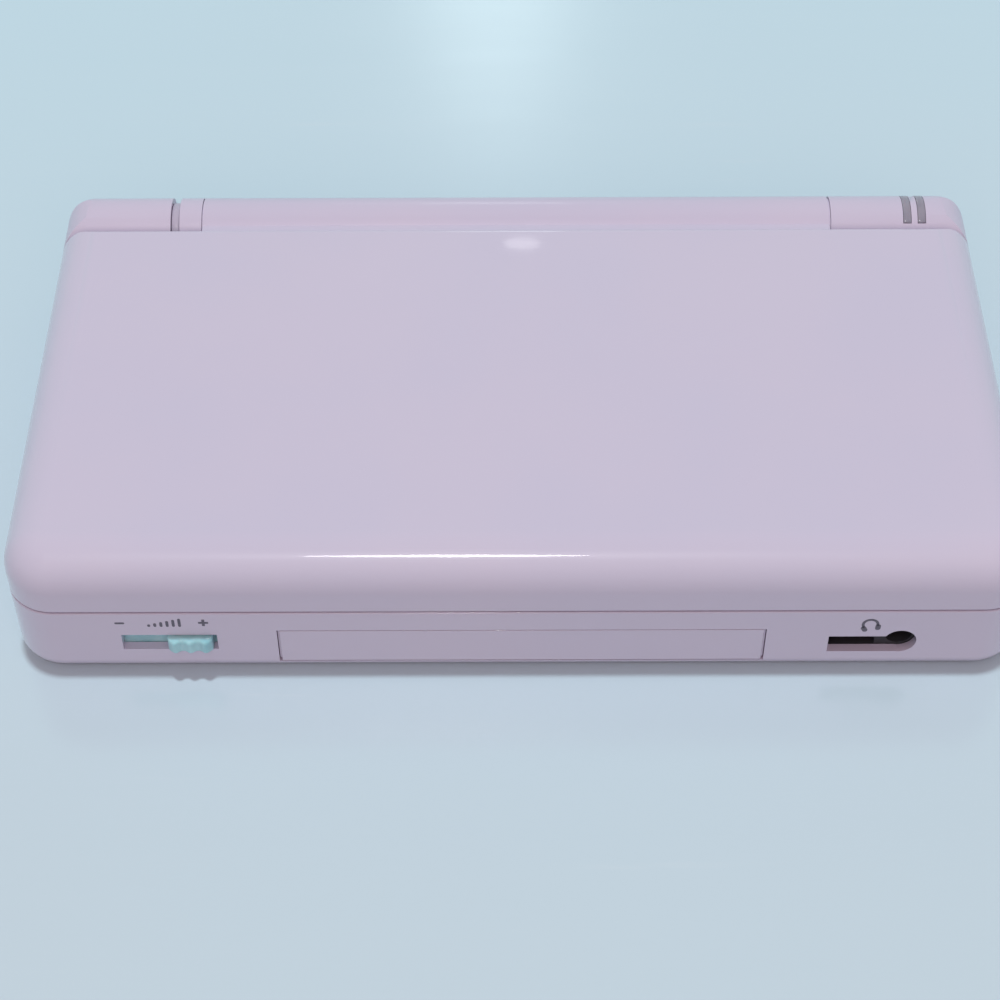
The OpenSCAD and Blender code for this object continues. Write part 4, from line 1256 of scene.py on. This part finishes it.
@dataclass(frozen=True)
class Lamp:
    """Elliptical lamp that faces the console.

    Attributes:
        name: Name of the lamp.
        height: Height above the table in degrees.
        bearing: Bearing in degrees, from +Y towards +X.
        distance: Distance from the console.
        size: Width and height of the lamp.
        power: Power in watts.
        colour: Colour of its light.
        mirrored: Whether glossy surfaces mirror the lamp.
    """

    name: str
    height: float
    bearing: float
    distance: float
    size: tuple[float, float]
    power: float
    colour: Colour
    mirrored: bool = True

    def hang(self) -> None:
        """Puts the lamp in the scene."""
        up, around = math.radians(self.height), math.radians(self.bearing)
        level = Vector((math.sin(around), math.cos(around), 0.0))
        away = level * math.cos(up) + Vector((0.0, 0.0, math.sin(up)))
        data = bpy.data.lights.new(self.name, "AREA")
        data.shape = "ELLIPSE"
        data.size, data.size_y = self.size
        data.energy = self.power
        data.color = self.colour
        lamp = bpy.data.objects.new(self.name, data)
        lamp.visible_glossy = self.mirrored
        lamp.location = away * self.distance
        lamp.rotation_euler = away.to_track_quat("Z", "Y").to_euler()
        link(lamp)


FRONT = Lamp(
    "front", height=38, bearing=178, distance=2.2, size=(2.4, 1.2), power=12.2,
    colour=(1.0, 0.745, 0.61), mirrored=False,
)
KEY = Lamp(
    "key", height=59.3, bearing=183.1, distance=1.6, size=(0.11, 0.1), power=0.9,
    colour=(1.0, 0.98, 0.98),
)
KEY_GLOW = Lamp(
    "key_glow", height=59.0, bearing=183.5, distance=1.6, size=(0.24, 0.15), power=1.1,
    colour=(1.0, 0.98, 1.0),
)
WINDOW = Lamp(
    "window", height=30.0, bearing=-0.3, distance=2.4, size=(0.18, 0.62), power=0.62,
    colour=(0.86, 1.0, 1.0),
)
WINDOW_TOP = Lamp(
    "window_top", height=41.3, bearing=0.65, distance=2.4, size=(0.044, 0.013), power=0.004,
    colour=(1.0, 0.98, 1.0),
)


@dataclass
class Studio:
    """Table, lights, world and camera."""

    table_half: float = 3.0
    # painted light: the table's rear colour is paler and bluer for the window's light at the back
    table_front: Colour = (0.55, 0.605, 0.68)
    table_rear_with_painted_light: Colour = (0.535, 0.72, 0.82)
    sky: Colour = (0.96, 0.91, 0.94)
    sky_strength: float = 0.315
    backdrop: Colour = (0.66, 0.80, 0.86)
    ceiling_strength: float = 1.66
    ceiling_angle: float = 3.5
    ceiling_lean: float = -3.6
    ceiling_colour: Colour = (0.83, 0.99, 1.0)
    eye: tuple[float, float, float] = (-1.81 * MM, -217.92 * MM, 233.98 * MM)
    turn: float = -0.1617
    tilt: float = 47.897
    roll: float = -0.2917
    focal_px: float = 2222.8
    picture_px: float = 1000.0
    sensor: float = 36.0

    def build(self) -> None:
        """Builds the studio."""
        self.table()
        self.world()
        self.ceiling()
        for lamp in (FRONT, KEY, KEY_GLOW, WINDOW, WINDOW_TOP):
            lamp.hang()
        self.camera()

    def table(self) -> None:
        """Lays the table top."""
        shape = bmesh.new()
        bmesh.ops.create_grid(shape, x_segments=2, y_segments=2, size=self.table_half)
        table = put_in_scene("table_top", shape)
        finish = TableTop("table_lacquer_with_painted_light", self.table_front, self.table_rear_with_painted_light)
        table.data.materials.append(finish.material())

    def world(self) -> None:
        """Lights the scene evenly; camera, glossy and transmission rays meet a pale backdrop."""
        world = bpy.data.worlds.new("pale_room")
        bpy.context.scene.world = world
        world.use_nodes = True
        tree = world.node_tree
        background = tree.nodes["Background"]
        background.inputs["Color"].default_value = (*self.sky, 1.0)
        background.inputs["Strength"].default_value = self.sky_strength
        seen = tree.nodes.new("ShaderNodeBackground")
        seen.inputs["Color"].default_value = (*self.backdrop, 1.0)
        rays = tree.nodes.new("ShaderNodeLightPath").outputs
        mixed = tree.nodes.new("ShaderNodeMixShader")
        shown = rays["Is Camera Ray"]
        for kind in ("Is Glossy Ray", "Is Transmission Ray"):
            either = tree.nodes.new("ShaderNodeMath")
            either.operation = "MAXIMUM"
            tree.links.new(shown, either.inputs[0])
            tree.links.new(rays[kind], either.inputs[1])
            shown = either.outputs[0]
        tree.links.new(shown, mixed.inputs[0])
        tree.links.new(background.outputs[0], mixed.inputs[1])
        tree.links.new(seen.outputs[0], mixed.inputs[2])
        tree.links.new(mixed.outputs[0], tree.nodes["World Output"].inputs[0])

    def ceiling(self) -> None:
        """Hangs the ceiling light nearly overhead: a contact shadow, but no highlight."""
        data = bpy.data.lights.new("ceiling", "SUN")
        data.energy = self.ceiling_strength
        data.angle = math.radians(self.ceiling_angle)
        data.color = self.ceiling_colour
        lamp = bpy.data.objects.new("ceiling", data)
        lamp.rotation_euler = (math.radians(self.ceiling_lean), 0.0, 0.0)
        lamp.visible_glossy = False
        link(lamp)

    def camera(self) -> None:
        """Sets the camera."""
        turn, tilt, roll = (math.radians(angle) for angle in (self.turn, self.tilt, self.roll))
        flat = Vector((math.sin(turn), math.cos(turn), 0.0))
        ahead = flat * math.cos(tilt) - Vector((0.0, 0.0, math.sin(tilt)))
        level = Vector((math.cos(turn), -math.sin(turn), 0.0))
        upward = level.cross(ahead)
        right = level * math.cos(roll) + upward * math.sin(roll)
        upward = upward * math.cos(roll) - level * math.sin(roll)
        data = bpy.data.cameras.new("camera")
        data.sensor_width = self.sensor
        data.lens = self.focal_px / self.picture_px * self.sensor
        data.clip_start = 0.01
        camera = bpy.data.objects.new("camera", data)
        axes = Matrix((right, upward, -ahead)).transposed()
        camera.matrix_world = Matrix.Translation(self.eye) @ axes.to_4x4()
        link(camera)
        bpy.context.scene.camera = camera


def main() -> None:
    """Builds the console's looks and the studio round it."""
    logging.basicConfig(level=logging.INFO, format="%(name)s: %(message)s")
    for assembly in (
        Studio(), BaseHousing(), LidHousing(), Controls(), Displays(), Insides(), FrontPrint(),
    ):
        log.info("building %s", type(assembly).__name__)
        assembly.build()
    bpy.context.scene.view_settings.view_transform = "Standard"


if __name__ == "__main__":
    main()
